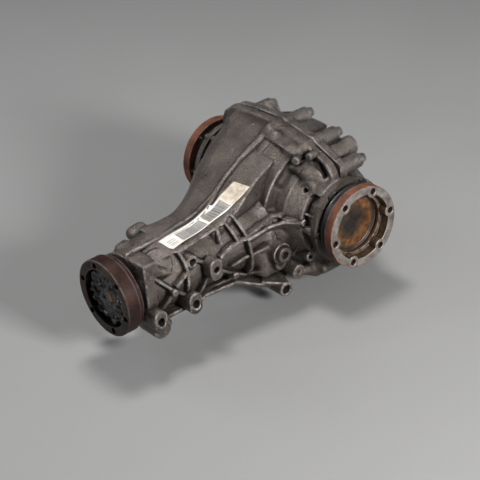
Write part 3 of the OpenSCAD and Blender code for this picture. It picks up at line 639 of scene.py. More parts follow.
def cover_casting(voxel):
    """Cover, hollow and with all its holes."""
    front = 0.8
    drum_r = 97.5
    f = Field([-152, -4, -108], [84, 102, 112], voxel)
    f.add(x_rod(-70, -10, drum_r, edge=12), 0)
    f.add(x_rod(-14, 24, 92, 80, edge=8), 8)
    f.add(x_rod(20, 62, 74, 60, edge=5), 8)
    f.add(x_rod(-141, -60, 62, 86, edge=5), 14)
    f.add(slab(JOINT, front, 13, 2), 6)
    # bolt towers and rear bosses, each with a web towards the drum
    for x, z in COVER_BOLTS:
        away = 12 / np.hypot(x, z)
        f.add(y_rod(front, HEAD_Y, 10.5, 9.6, at=(x, z), edge=1.2), 3)
        web_x, web_z = x - away * x, z - away * z
        f.add(bar((web_x, 6, web_z), (web_x, 34, web_z), 9), 7)
    for x, z in MOUNT_BOSSES:
        f.add(y_rod(front, 60, 13.5, 12.6, at=(x, z), edge=2), 3)
        f.add(bar((x * 0.86, 10, z * 0.8), (x * 0.86, 40, z * 0.8), 12), 6)
    for turn in (-52, -26, 0, 26, 52):
        y, z = drum_r * np.cos(np.radians(turn)), drum_r * np.sin(np.radians(turn))
        f.add(fin((-70, y, z), (-12, y, z), (0, -y, -z), 12, 4), 2)
    f.add(y_rod(70, DRAIN_Y, 16, at=DRAIN_AT, edge=1.5), 4)
    f.add(y_rod(50, 80, 9, at=BREATHER_AT, edge=1.5), 4)
    # flat joint face, hollows and holes
    f.cut(block((MID_X, front - 50, 0), (200, 50, 200), 0))
    hollow_drum(f)
    for x, z in COVER_BOLTS:
        f.cut(y_rod(-5, 60, BOLT_HOLE, at=(x, z), edge=0))
        f.cut(y_rod(HEAD_Y, 90, 8.8, at=(x, z), edge=0))
    for x, z in MOUNT_BOSSES:
        f.cut(y_rod(34, 70, THREAD_HOLE, at=(x, z), edge=0))
    f.cut(y_rod(60, 110, PLUG_HOLE, at=DRAIN_AT, edge=0))
    f.cut(y_rod(40, 90, BOLT_HOLE, at=BREATHER_AT, edge=0))
    return f


# ---- meshes from fields -----------------------------------------------------------------

CORNERS = np.array([[i, j, k] for i in (0, 1) for j in (0, 1) for k in (0, 1)])
CELL_EDGES = [(a, b) for a in range(8) for b in range(a + 1, 8)
              if np.abs(CORNERS[a] - CORNERS[b]).sum() == 1]


def sample(grid, points):
    """Values of the grid at points given in cells."""
    top = np.array(grid.shape) - 2
    base = np.clip(np.floor(points).astype(int), 0, top)
    t = points - base
    out = np.zeros(len(points))
    for c in CORNERS:
        weight = np.prod(np.where(c, t, 1 - t), axis=1)
        at = base + c
        out += weight * grid[at[:, 0], at[:, 1], at[:, 2]]
    return out


def gradient(grid, points, step=0.5):
    """Slope of the grid at points given in cells."""
    g = np.zeros((len(points), 3))
    for k in range(3):
        shift = np.zeros(3)
        shift[k] = step
        g[:, k] = (sample(grid, points + shift) - sample(grid, points - shift)) / (2 * step)
    return g


def surface_net(grid):
    """Closed quad mesh on the grid's zero level: one vertex in each cell that the level crosses."""
    inside = grid < 0
    nx, ny, nz = grid.shape
    count = np.zeros((nx - 1, ny - 1, nz - 1), np.int8)
    for i, j, k in CORNERS:
        count += inside[i:nx - 1 + i, j:ny - 1 + j, k:nz - 1 + k]
    active = (count > 0) & (count < 8)
    cells = np.argwhere(active)
    index = np.full(active.shape, -1, np.int64)
    index[active] = np.arange(len(cells))
    total = np.zeros((len(cells), 3))
    hits = np.zeros(len(cells))
    for a, b in CELL_EDGES:
        pa, pb = cells + CORNERS[a], cells + CORNERS[b]
        va = grid[pa[:, 0], pa[:, 1], pa[:, 2]]
        vb = grid[pb[:, 0], pb[:, 1], pb[:, 2]]
        crossed = (va < 0) != (vb < 0)
        t = np.where(crossed, va / np.where(crossed, va - vb, 1), 0)[:, None]
        total += np.where(crossed[:, None], CORNERS[a] + t * (CORNERS[b] - CORNERS[a]), 0)
        hits += crossed
    points = cells + total / hits[:, None]
    quads = []
    for axis in range(3):
        u, v = np.eye(3, dtype=int)[(axis + 1) % 3], np.eye(3, dtype=int)[(axis + 2) % 3]
        n = np.array(grid.shape)
        n[axis] -= 1
        here = inside[:n[0], :n[1], :n[2]]
        step = np.eye(3, dtype=int)[axis]
        there = inside[step[0]:, step[1]:, step[2]:][:n[0], :n[1], :n[2]]
        g = np.argwhere(here != there)
        ok = (g[:, (axis + 1) % 3] > 0) & (g[:, (axis + 2) % 3] > 0)
        g = g[ok]
        ring = [g, g - u, g - u - v, g - v]
        quad = np.stack([index[p[:, 0], p[:, 1], p[:, 2]] for p in ring], axis=1)
        outward = here[g[:, 0], g[:, 1], g[:, 2]]
        quads.append(np.where(outward[:, None], quad, quad[:, ::-1]))
    return points, np.concatenate(quads)


def largest_part(points, faces):
    """The mesh without the small closed bubbles that are cut off from its main surface."""
    label = np.arange(len(points))
    while True:
        low = label[faces].min(axis=1)
        new = label.copy()
        for side in range(faces.shape[1]):
            np.minimum.at(new, faces[:, side], low)
        new = new[new]
        if (new == label).all():
            break
        label = new
    biggest = np.bincount(label[faces[:, 0]]).argmax()
    faces = faces[label[faces[:, 0]] == biggest]
    used = np.unique(faces)
    place = np.full(len(points), -1)
    place[used] = np.arange(len(used))
    return points[used], place[faces]


def in_scene(obj):
    """Puts an object into the scene."""
    bpy.context.scene.collection.objects.link(obj)
    return obj


def new_mesh(name, points, faces):
    """Mesh object from arrays of points in metres and faces of one length."""
    side = faces.shape[1]
    mesh = bpy.data.meshes.new(name)
    mesh.vertices.add(len(points))
    mesh.vertices.foreach_set("co", points.astype(np.float32).ravel())
    mesh.loops.add(faces.size)
    mesh.loops.foreach_set("vertex_index", faces.astype(np.int32).ravel())
    mesh.polygons.add(len(faces))
    mesh.polygons.foreach_set("loop_start", np.arange(0, faces.size, side, dtype=np.int32))
    mesh.update(calc_edges=True)
    return in_scene(bpy.data.objects.new(name, mesh))


def apply_modifiers(obj):
    """Replaces the object's mesh by what its modifiers make of it."""
    bpy.context.view_layer.update()
    seen = obj.evaluated_get(bpy.context.evaluated_depsgraph_get())
    mesh = bpy.data.meshes.new_from_object(seen)
    old = obj.data
    obj.modifiers.clear()
    obj.data = mesh
    bpy.data.meshes.remove(old)


def mark_points(obj, name, values):
    """Stores a value at each vertex, for a material to read."""
    layer = obj.data.attributes.new(name, "FLOAT", "POINT")
    layer.data.foreach_set("value", values.astype(np.float32))


def edge_and_hollow(obj, field):
    """Stores how sharply the surface turns outward and inward at each vertex, for edge wear with a
    painted highlight and for dirt with painted shade.
    """
    co = np.zeros(len(obj.data.vertices) * 3, np.float32)
    obj.data.vertices.foreach_get("co", co)
    cells = ((co.reshape(-1, 3) - AXLE) / MM - field.low) / field.voxel
    d = field.d
    turning = np.zeros_like(d)
    turning[1:-1, 1:-1, 1:-1] = (
        d[2:, 1:-1, 1:-1] + d[:-2, 1:-1, 1:-1] + d[1:-1, 2:, 1:-1] + d[1:-1, :-2, 1:-1]
        + d[1:-1, 1:-1, 2:] + d[1:-1, 1:-1, :-2] - 6 * d[1:-1, 1:-1, 1:-1]) / field.voxel**2
    turn = sample(turning, cells)
    for name, value in (("edge", turn), ("hollow", -turn)):
        mark_points(obj, name, np.clip(value, 0, 1))


def piece_from(field, name, most):
    """Object on the field's surface, with at most this many triangles."""
    points, quads = largest_part(*surface_net(field.d))
    # two steps along the slope bring the vertices onto the surface
    for _ in range(2):
        g = gradient(field.d, points)
        d = sample(field.d, points)
        step = d / np.maximum((g * g).sum(1), 0.15)
        move = -g * np.clip(step, -0.5, 0.5)[:, None]
        points = points + np.clip(move, -0.35, 0.35)
    points = (points * field.voxel + field.low) * MM + AXLE
    obj = new_mesh(name, points, quads)
    if 2 * len(quads) > most:
        less = obj.modifiers.new("less", "DECIMATE")
        less.ratio = most / (2 * len(quads))
        apply_modifiers(obj)
    obj.data.shade_smooth()
    edge_and_hollow(obj, field)
    return obj


# ---- the castings as objects ------------------------------------------------------------

CAST_VOXEL = 1.5 if FINE else 2.6
CAST_MOST = 180000
housing_field = main_casting(CAST_VOXEL)
housing = piece_from(housing_field, "housing_casting", CAST_MOST)
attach(housing, "housing")
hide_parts("main_housing")

cover = piece_from(cover_casting(CAST_VOXEL), "cover_casting", CAST_MOST)
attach(cover, "housing")
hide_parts("rear_cover")


# ---- flanges ----------------------------------------------------------------------------

FLANGE_HOLE = 4.25
CUP_R = 38
# Output flange, along x: its face and the depth of its cup; its holes, round the axis
FACE_X = 112.0
CUP_DEPTH = 22.0
OUTPUT_HOLES = ring_of(6, 5, 47)
# Input flange, along y, with its holes
INPUT_Y = -320
INPUT_HOLES = ring_of(6, 44, 43)


def output_flange(voxel):
    """Right output flange with its stub: an outer band, a recessed face and a deep cup."""
    f = Field([-14, -57, -57], [115, 57, 57], voxel)
    f.add(x_rod(99, FACE_X, 54))
    f.add(x_rod(86.5, 99.6, 42.5, edge=0.6), 0.5)
    f.add(x_rod(50, 88, 24, edge=0.6), 0.8)
    f.add(x_rod(-11.4, 51, 14, edge=0.8), 0.5)
    # recess in the face, with a lobe left standing round each hole
    recess = x_rod(100, FACE_X + 4, 43, edge=1.2)
    f.cut(both(recess, outside_posts(OUTPUT_HOLES, 8.6, 0)), 0.8)
    f.cut(x_rod(FACE_X - CUP_DEPTH, FACE_X + 4, CUP_R, edge=3.0), 0.8)
    f.cut(x_rod(92.5, 95.5, 39, edge=1.4), 0.4)
    for y, z in OUTPUT_HOLES:
        f.cut(x_rod(92, 120, FLANGE_HOLE, at=(y, z), edge=0))
    # groove for the ring that holds the stub
    f.cut(both(x_rod(-0.6, 0.6, 16, edge=0), outside_posts([(0, 0)], 12.6, 0)))
    return f


def input_flange(voxel):
    """Flange on the pinion: a thin-edged band, a face with six holes, a cup and a hub."""
    f = Field([-53, INPUT_Y - 3, -53], [53, -234, 53], voxel)
    f.add(y_rod(INPUT_Y, -301, 50, edge=1.2))
    f.add(y_rod(-302, -294, 46), 0.5)
    f.add(y_rod(-300, -237.02, 21, edge=0.6), 0.8)
    recess = y_rod(INPUT_Y - 4, -308, CUP_R, edge=0.6)
    f.cut(both(recess, outside_posts(INPUT_HOLES, 8.5, 1)), 0.6)
    f.cut(y_rod(INPUT_Y - 10, -300, CUP_R, edge=2.0), 0.6)
    for x, z in INPUT_HOLES:
        f.cut(y_rod(INPUT_Y - 10, -303.5, FLANGE_HOLE, at=(x, z), edge=0))
    f.cut(y_rod(-306, -230, 12.52, edge=0))
    return f


FLANGE_VOXEL = 0.8 if FINE else 1.4
FLANGE_MOST = 150000
flanges = {}
for side in ("right", "left"):
    obj = piece_from(output_flange(FLANGE_VOXEL), side + "_flange_forging", FLANGE_MOST)
    if side == "left":
        flip = Matrix.Diagonal((-1, 1, 1, 1))
        flip.translation.x = 2 * MID_X * MM
        obj.data.transform(flip)
        obj.data.flip_normals()
    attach(obj, side + "_output")
    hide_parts(side + "_output_flange")
    flanges[side] = obj
flanges["input"] = piece_from(input_flange(FLANGE_VOXEL), "input_flange_forging", FLANGE_MOST)
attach(flanges["input"], "pinion")
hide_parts("input_flange")


# ---- small turned and hexagonal pieces --------------------------------------------------

def lathe(name, profile, segments=144):
    """Piece turned about the output axis: profile is a closed outline of (x, radius)."""
    ends = np.array(profile, float)
    turns = np.linspace(0, 2 * np.pi, segments, endpoint=False)
    c, s = np.cos(turns)[:, None], np.sin(turns)[:, None]
    x = np.broadcast_to(ends[:, 0], (segments, len(ends)))
    r = ends[:, 1]
    points = np.stack([x, r * c, r * s], axis=-1).reshape(-1, 3)
    n = len(ends)
    i = np.arange(segments)[:, None] * n
    j = (np.arange(segments)[:, None] + 1) % segments * n
    k = np.arange(n)[None, :]
    m = (k + 1) % n
    faces = np.stack([i + k, j + k, j + m, i + m], axis=-1).reshape(-1, 4)
    area = sum(p[0] * q[1] - q[0] * p[1] for p, q in zip(profile, profile[1:] + profile[:1]))
    if area > 0:
        faces = faces[:, ::-1]
    obj = new_mesh(name, points * MM + AXLE, faces)
    obj.data.shade_smooth()
    obj.data.set_sharp_from_angle(angle=math.radians(35))
    return obj


def hexagon(p, q, across, edge=0.3):
    """Six-sided bar from p to q, measured across its flats."""
    p, q = np.array(p, float), np.array(q, float)
    long = np.linalg.norm(q - p)
    u = (q - p) / long
    side = np.cross(u, [0.3, 0.5, 0.8])
    side /= np.linalg.norm(side)
    other = np.cross(u, side)

    def sd(x, y, z):
        dx, dy, dz = x - p[0], y - p[1], z - p[2]
        a, b = dot(side, dx, dy, dz), dot(other, dx, dy, dz)
        t = dot(u, dx, dy, dz)
        slanted = np.maximum(np.abs(a * 0.5 + b * 0.866), np.abs(a * 0.5 - b * 0.866))
        wall = np.maximum(np.abs(a), slanted) - across / 2 + edge
        end = np.abs(t - long / 2) - long / 2 + edge
        return rounded(wall, end, edge)
    return sd, *box_of(p, q, grow=across * 0.6)


def joined(name, parts):
    """One object from several."""
    bpy.ops.object.select_all(action="DESELECT")
    for part in parts:
        part.select_set(True)
    bpy.context.view_layer.objects.active = parts[0]
    bpy.ops.object.join()
    parts[0].name = name
    return parts[0]


def cover_bolt(x, z, deep):
    """Flanged hexagon bolt through the cover into the main casting."""
    f = Field([x - 10, -deep - 3, z - 10], [x + 10, HEAD_Y + 10, z + 10], 0.5 if FINE else 0.8)
    f.add(y_rod(-deep + 1, HEAD_Y + 1, 4, at=(x, z), edge=0.6))
    f.add(y_rod(HEAD_Y + 0.05, HEAD_Y + 2.6, 8, 7.2, at=(x, z), edge=0.5))
    crown = both(hexagon((x, HEAD_Y + 1, z), (x, HEAD_Y + 8, z), 11.4),
                 y_rod(HEAD_Y, HEAD_Y + 8, 6.6, 5.7, at=(x, z), edge=0.6))
    f.add(crown, 0.6)
    f.cut(y_rod(HEAD_Y + 7.3, HEAD_Y + 12, 3.6, 4.2, at=(x, z), edge=0.2), 0.3)
    return piece_from(f, "bolt", 9000)


bolts = [cover_bolt(x, z, deep) for (x, z), deep in zip(COVER_BOLTS, BOLT_DEPTHS)]
cover_screws = joined("cover_screws", bolts)
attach(cover_screws, "housing")
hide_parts("cover_bolts")


def socket_plug(name, at, way):
    """Threaded plug with a hexagon socket; at is the casting's face, way points outward."""
    at, way = np.array(at, float), np.array(way, float)
    low, high = box_of(at - 14 * way, at + 7 * way)
    room = 13 * (1 - np.abs(way)) + 1
    f = Field(low - room, high + room, 0.5 if FINE else 0.9)
    f.add(rod(at - 12.8 * way, at + 2 * way, 8.9, edge=0.8))
    f.add(rod(at + 1.4 * way, at + 5.4 * way, 10.6, 10.0, edge=0.9), 0.3)
    f.cut(hexagon(at - 4 * way, at + 8 * way, 9.6, 0.2), 0.3)
    return piece_from(f, name, 14000)


fill = socket_plug("filler_plug", (FILL_X, *FILL_AT), (1, 0, 0))
drain = socket_plug("drainage_plug", (DRAIN_AT[0], DRAIN_Y, DRAIN_AT[1]), (0, 1, 0))
for obj, node in ((fill, "fill_plug"), (drain, "drain_plug")):
    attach(obj, "housing")
    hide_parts(node)


def dust_ring(name, outer, side):
    """Rubber ring on the flange's cup wall with two lips; outer is its radius."""
    lip = outer - 1.4
    profile = [(89.7, 42.55), (98.9, 42.55), (98.9, outer - 0.6), (98.4, outer), (96.6, outer),
               (96.1, lip), (95.3, lip), (94.9, outer - 0.3), (93.4, outer - 0.3), (92.9, lip),
               (91.8, lip - 0.2), (91.3, outer - 0.9), (90.3, outer - 1.0), (89.7, outer - 1.7)]
    if side == "left":
        profile = [(2 * MID_X - x, r) for x, r in profile][::-1]
    obj = lathe(name, profile)
    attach(obj, side + "_output")
    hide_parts(side + "_dust_ring")
    return obj


right_ring = dust_ring("right_rubber_ring", 53.0, "right")
left_ring = dust_ring("left_rubber_ring", 46.0, "left")


# ---- grease packed in the input flange's cup ---------------------------------------------

def grease_field(voxel):
    """Ragged plug of grease with smears on it, open over the pinion's end and its nut."""
    f = Field([-41, -322, -41], [41, -298, 41], voxel)
    f.add(y_rod(-314.0, -301.5, 37.6))
    rng = np.random.default_rng(7)
    for _ in range(46):
        r, a = 34 * np.sqrt(rng.random()), rng.random() * 2 * np.pi
        x, z = r * np.cos(a), r * np.sin(a)
        size = 1.2 + 3.4 * rng.random()
        turn = rng.random() * np.pi
        dx, dz = 5 * np.cos(turn), 5 * np.sin(turn)
        keep = min(1.0, 34 / max(np.hypot(x + dx, z + dz), 1))
        f.add(bar((x, -313.6, z), ((x + dx) * keep, -314.2, (z + dz) * keep), size, size * 0.7), 2.2)
    for _ in range(16):
        r, a = 30 * np.sqrt(rng.random()), rng.random() * 2 * np.pi
        x, z = r * np.cos(a), r * np.sin(a)
        f.cut(bar((x, -318.5, z), (x + 3, -318.0, z - 2), 3.6 + 2.4 * rng.random()), 1.5)
    f.cut(y_rod(-303, -290, 39, edge=0))
    f.add(y_rod(-315.6, -313, 12, edge=1.2), 1.5)
    f.cut(y_rod(-314.05, -290, 10.2, edge=0))
    f.cut(y_rod(-311, -290, 17.6, edge=0))
    return f


grease = piece_from(grease_field(0.6 if FINE else 1.1), "grease", 60000)
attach(grease, "pinion")


# ---- paper label on the strap ------------------------------------------------------------

# Stations of the label along the strap and the x of its edges at each
LABEL_Y = [-238, -205, -176, -152, -137, -118, -101]
LABEL_LEFT = [14.8, 11.2, 7.4, 3.2, 0.0, -4.0, -6.9]
LABEL_RIGHT = [34.0, 28.4, 22.6, 19.8, 18.4, 17.3, 16.6]


def top_of(field, x, y):
    """Height of the surface above each (x, y), looking down from the top of the field."""
    z = np.full(x.shape, 100.0)
    for _ in range(140):
        cells = (np.stack([x, y, z], axis=-1).reshape(-1, 3) - field.low) / field.voxel
        z = z - np.clip(sample(field.d, cells).reshape(x.shape), -0.5, 4) * 0.6
    return z


def label_strip():
    """Thin strip of paper laid on the strap, with its ends cut at a slant."""
    rows, columns = 121, 15
    thick = 0.3
    t = np.linspace(0, 1, rows)
    y = LABEL_Y[0] + t * (LABEL_Y[-1] - LABEL_Y[0])
    left, right = smooth_line(LABEL_Y, LABEL_LEFT, y), smooth_line(LABEL_Y, LABEL_RIGHT, y)
    across = np.linspace(0, 1, columns)
    x = left[:, None] + (right - left)[:, None] * across
    slant = (across - 0.5) * 7.0
    yy = y[:, None] + slant
    z = top_of(housing_field, x, yy)
    # the paper bridges what lies deeper than this, and is smoother than the ground
    z = np.maximum(z, np.median(z, axis=1, keepdims=True) - 2.0)
    ground = z.copy()
    for _ in range(6):
        z[1:-1] = (z[:-2] + 2 * z[1:-1] + z[2:]) / 4
    z = np.maximum(z, ground)
    lift = 0.35 + 0.25 * np.sin(y / 7.0)[:, None] * (np.abs(across - 0.5) * 2) ** 3
    top = np.stack([x, yy, z + lift], axis=-1).reshape(-1, 3)
    under = top - [0, 0, thick]
    i, j = np.meshgrid(np.arange(rows - 1), np.arange(columns - 1), indexing="ij")
    a = (i * columns + j).ravel()
    upper = np.stack([a, a + 1, a + columns + 1, a + columns], axis=1)
    n = rows * columns
    lower = upper[:, ::-1] + n
    rim = np.concatenate([np.arange(columns), np.arange(1, rows) * columns + columns - 1,
                          (rows - 1) * columns + np.arange(columns - 2, -1, -1),
                          np.arange(rows - 2, 0, -1) * columns])
    following = np.roll(rim, -1)
    sides = np.stack([following, rim, rim + n, following + n], axis=1)
    points = np.concatenate([top, under]) * MM + AXLE
    obj = new_mesh("label", points, np.concatenate([upper, lower, sides]))
    mark_points(obj, "along", np.tile(np.repeat(t, columns), 2))
    mark_points(obj, "across", np.tile(across, 2 * rows))
    obj.data.shade_smooth()
    return obj


label = label_strip()
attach(label, "housing")


# ---- materials --------------------------------------------------------------------------

class Paint:
    """A node material built one step at a time."""

    def __init__(self, name):
        self.material = bpy.data.materials.new(name)
        self.material.use_nodes = True
        self.tree = self.material.node_tree
        self.shader = self.tree.nodes["Principled BSDF"]
        self.where = self.tree.nodes.new("ShaderNodeTexCoord").outputs["Object"]

    def node(self, kind, **sockets):
        """New node with these values or links on its inputs."""
        made = self.tree.nodes.new(kind)
        for name, value in sockets.items():
            self.into(made, name, value)
        return made

    def into(self, node, key, value):
        """Sets or links an input; a colour of three gets its fourth value."""
        socket = node.inputs[key]
        if isinstance(value, bpy.types.NodeSocket):
            self.tree.links.new(value, socket)
        elif socket.type == "RGBA":
            socket.default_value = (*value, 1)
        else:
            socket.default_value = value

    def noise(self, scale, detail, rough, shift=0.0, bend=0.0):
        """Noise of this many lumps per metre, as a value from 0 to 1."""
        place = self.node("ShaderNodeMapping", Vector=self.where)
        place.inputs["Location"].default_value = (shift, shift * 0.7, -shift)
        return self.node("ShaderNodeTexNoise", Vector=place.outputs[0], Scale=scale, Detail=detail,
                         Roughness=rough, Distortion=bend).outputs["Fac"]

    def ramp(self, value, *stops):
        """Value through colour or grey stops (place, grey or colour)."""
        made = self.node("ShaderNodeValToRGB", Fac=value)
        line = made.color_ramp.elements
        while len(line) < len(stops):
            line.new(0.5)
        for element, (place, colour) in zip(line, stops):
            element.position = place
            grey = isinstance(colour, (int, float))
            element.color = (colour, colour, colour, 1) if grey else (*colour, 1)
        return made.outputs["Color"]

    def patches(self, scale, detail, rough, low, high, shift=0.0, bend=0.0):
        """Noise stretched between two stops, each a noise value with a grey or a colour."""
        return self.ramp(self.noise(scale, detail, rough, shift, bend), low, high)

    def mix(self, share, a, b, how="MIX"):
        """Colour a turned into b by this share."""
        made = self.tree.nodes.new("ShaderNodeMix")
        made.data_type = "RGBA"
        made.blend_type = how
        for i, value in ((0, share), (6, a), (7, b)):
            self.into(made, i, value)
        return made.outputs[2]

    def over(self, skin, share, strength, colour):
        """The skin with a colour over it, by the share times the strength."""
        return self.mix(self.times(share, strength, limit=True), skin, colour)

    def math(self, how, a, b=0.5, c=0.5, limit=False):
        """Arithmetic on values; the result can be limited to 0 to 1."""
        made = self.tree.nodes.new("ShaderNodeMath")
        made.operation = how
        made.use_clamp = limit
        for i, value in enumerate((a, b, c)):
            self.into(made, i, value)
        return made.outputs[0]

    def times(self, a, b, limit=False):
        """Product of two values."""
        return self.math("MULTIPLY", a, b, limit=limit)

    def inside(self, value, low, high):
        """One where low < value < high."""
        return self.times(self.math("GREATER_THAN", value, low), self.math("LESS_THAN", value, high))

    def vector(self, how, a, b=(0, 0, 0)):
        """Arithmetic on a vector, with b as a fixed second one."""
        made = self.node("ShaderNodeVectorMath", Vector=a)
        made.operation = how
        made.inputs[1].default_value = b
        return made.outputs["Value" if how in ("DOT_PRODUCT", "LENGTH", "DISTANCE") else "Vector"]

    def mark(self, name):
        """A value stored on the mesh."""
        made = self.tree.nodes.new("ShaderNodeAttribute")
        made.attribute_name = name
        return made.outputs["Fac"]

    def across(self, *way):
        """Distance along this direction from the crossing of the axes, in metres."""
        return self.vector("DOT_PRODUCT", self.vector("SUBTRACT", self.where, tuple(AXLE)), way)

    def radius(self, keep):
        """Distance from the crossing of the axes, counting only the directions kept."""
        place = self.vector("SUBTRACT", self.where, tuple(AXLE))
        return self.vector("LENGTH", self.vector("MULTIPLY", place, keep))

    def bump(self, height, depth, strength=1.0, over=None):
        """Relief of this depth in metres; over is the relief it lies on."""
        made = self.node("ShaderNodeBump", Height=height, Strength=strength, Distance=depth)
        if over is not None:
            self.into(made, "Normal", over)
        return made.outputs["Normal"]

    def set(self, **sockets):
        """Sets or links inputs of the shader, and gives the finished material."""
        names = {"color": "Base Color", "metal": "Metallic", "rough": "Roughness", "normal": "Normal",
                 "specular": "Specular IOR Level"}
        for name, value in sockets.items():
            self.into(self.shader, names[name], value)
        return self.material


def cast_metal(name, dark, mid, light):
    """Old oily cast aluminium: mottled skin, scuffed edges with a painted highlight, dirt and painted
    shade in the corners.
    """
    m = Paint(name)
    blotch = m.patches(16, 5, 0.6, (0.32, 0), (0.68, 1))
    skin = m.mix(blotch, dark, mid)
    speck = m.patches(560, 3, 0.8, (0.34, 0.42), (0.68, 1.85))
    skin = m.mix(1.0, skin, speck, "MULTIPLY")
    stain = m.patches(34, 6, 0.62, (0.50, 0), (0.64, 1), shift=3.0, bend=0.4)
    skin = m.over(skin, stain, 0.4, (0.036, 0.026, 0.020))
    chalk = m.patches(48, 6, 0.72, (0.54, 0), (0.74, 1), shift=7.0)
    skin = m.over(skin, chalk, 0.22, light)
    # edge wear and painted highlight: the colour lightens in patches along outward edges
    patchy = m.patches(105, 6, 0.75, (0.42, 0.0), (0.66, 1.0), shift=1.0)
    worn = m.times(m.math("SUBTRACT", m.mark("edge"), 0.10, limit=True), patchy)
    skin = m.over(skin, worn, 2.0, light)
    # dirt and painted shade: the colour darkens where the surface turns inward, in recesses and corners
    dirt_and_shade = m.times(m.mark("hollow"), 4.5, limit=True)
    skin = m.over(skin, dirt_and_shade, 0.82, (0.012, 0.010, 0.009))
    relief = m.bump(m.noise(520, 4, 0.75), 0.0016, 0.8)
    relief = m.bump(m.noise(1500, 2, 0.6), 0.0005, 0.6, relief)
    rough = m.patches(52, 5, 0.65, (0.34, 0.25), (0.7, 0.44), shift=5.0)
    return m.set(color=skin, metal=0.72, rough=rough, normal=relief)


def output_flange_paint(name, side):
    """Rusted band, ground face with rust creeping in, and a cup with a rusty oil-stained floor."""
    m = Paint(name)
    # where the ground face, the cup's floor and the stub are, in metres
    face_x, face_r, cup_x, cup_r, stub_x = 0.1112, 0.0549, 0.0886, 0.0434, 0.086
    x = m.across(1, 0, 0)
    if side == "left":
        x = m.math("MULTIPLY_ADD", x, -1.0, 2 * MID_X * MM)
    r = m.radius((0, 1, 1))
    ragged = m.noise(150, 5, 0.7, shift=2.0)
    blotch = m.patches(60, 6, 0.65, (0.36, 0), (0.66, 1))
    if side == "left":
        rust = m.mix(blotch, (0.080, 0.024, 0.011), (0.230, 0.072, 0.030))
    else:
        rust = m.mix(blotch, (0.060, 0.020, 0.011), (0.165, 0.052, 0.024))
    pale = m.patches(230, 4, 0.7, (0.60, 0), (0.72, 1), shift=5.0)
    rust = m.over(rust, pale, 0.5, (0.28, 0.17, 0.12))
    # ground face
    tone = m.patches(75, 5, 0.65, (0.32, 0.12), (0.72, 0.42), shift=1.0)
    grey = m.mix(1.0, tone, (1.0, 0.93, 0.86), "MULTIPLY")
    tint = m.ramp(ragged, (0.52, 0), (0.66, 1))
    grey = m.over(grey, tint, 0.75, (0.20, 0.095, 0.05))
    rim = m.math("MULTIPLY_ADD", ragged, 0.004, r)
    face = m.times(m.math("GREATER_THAN", x, face_x), m.math("LESS_THAN", rim, face_r))
    skin = m.mix(face, rust, grey)
    # floor of the cup
    wet = m.math("MULTIPLY_ADD", m.noise(45, 5, 0.6, shift=8.0), 0.030, r)
    cup = m.ramp(wet, (0.023, (0.008, 0.006, 0.005)), (0.034, (0.040, 0.022, 0.011)),
                 (0.043, (0.135, 0.055, 0.018)), (0.055, (0.070, 0.042, 0.022)))
    fleck = m.patches(120, 5, 0.7, (0.38, 0.45), (0.68, 1.6), shift=4.0)
    cup = m.mix(1.0, cup, fleck, "MULTIPLY")
    hollow = m.times(m.math("LESS_THAN", r, cup_r), m.inside(x, cup_x, face_x))
    skin = m.mix(hollow, skin, cup)
    # ground stub inside the housing
    stub = m.math("LESS_THAN", x, stub_x)
    skin = m.mix(stub, skin, (0.42, 0.41, 0.40))
    # edge wear and painted highlight: the colour lightens along outward edges
    worn_and_lit_edge = m.times(m.mark("edge"), m.ramp(ragged, (0.40, 0), (0.6, 1)))
    skin = m.over(skin, worn_and_lit_edge, 0.55, (0.36, 0.30, 0.26))
    # dirt and painted shade: the colour darkens where the surface turns inward
    dirt_and_shade = m.times(m.mark("hollow"), 3.5, limit=True)
    skin = m.over(skin, dirt_and_shade, 0.85, (0.016, 0.010, 0.007))
    shiny = m.math("ADD", m.times(face, 0.75), stub, limit=True)
    metal = m.math("MULTIPLY_ADD", shiny, 0.85, 0.1)
    gloss = m.math("MULTIPLY_ADD", hollow, -0.30, 0.68)
    gloss = m.math("MULTIPLY_ADD", shiny, -0.32, gloss)
    relief = m.bump(m.noise(850, 4, 0.75), 0.0005, 0.6)
    # fine turning marks on the face
    turned = m.times(m.math("SINE", m.times(r, 7000.0)), face)
    relief = m.bump(turned, 0.00004, 0.5, relief)
    return m.set(color=skin, metal=metal, rough=gloss, normal=relief)


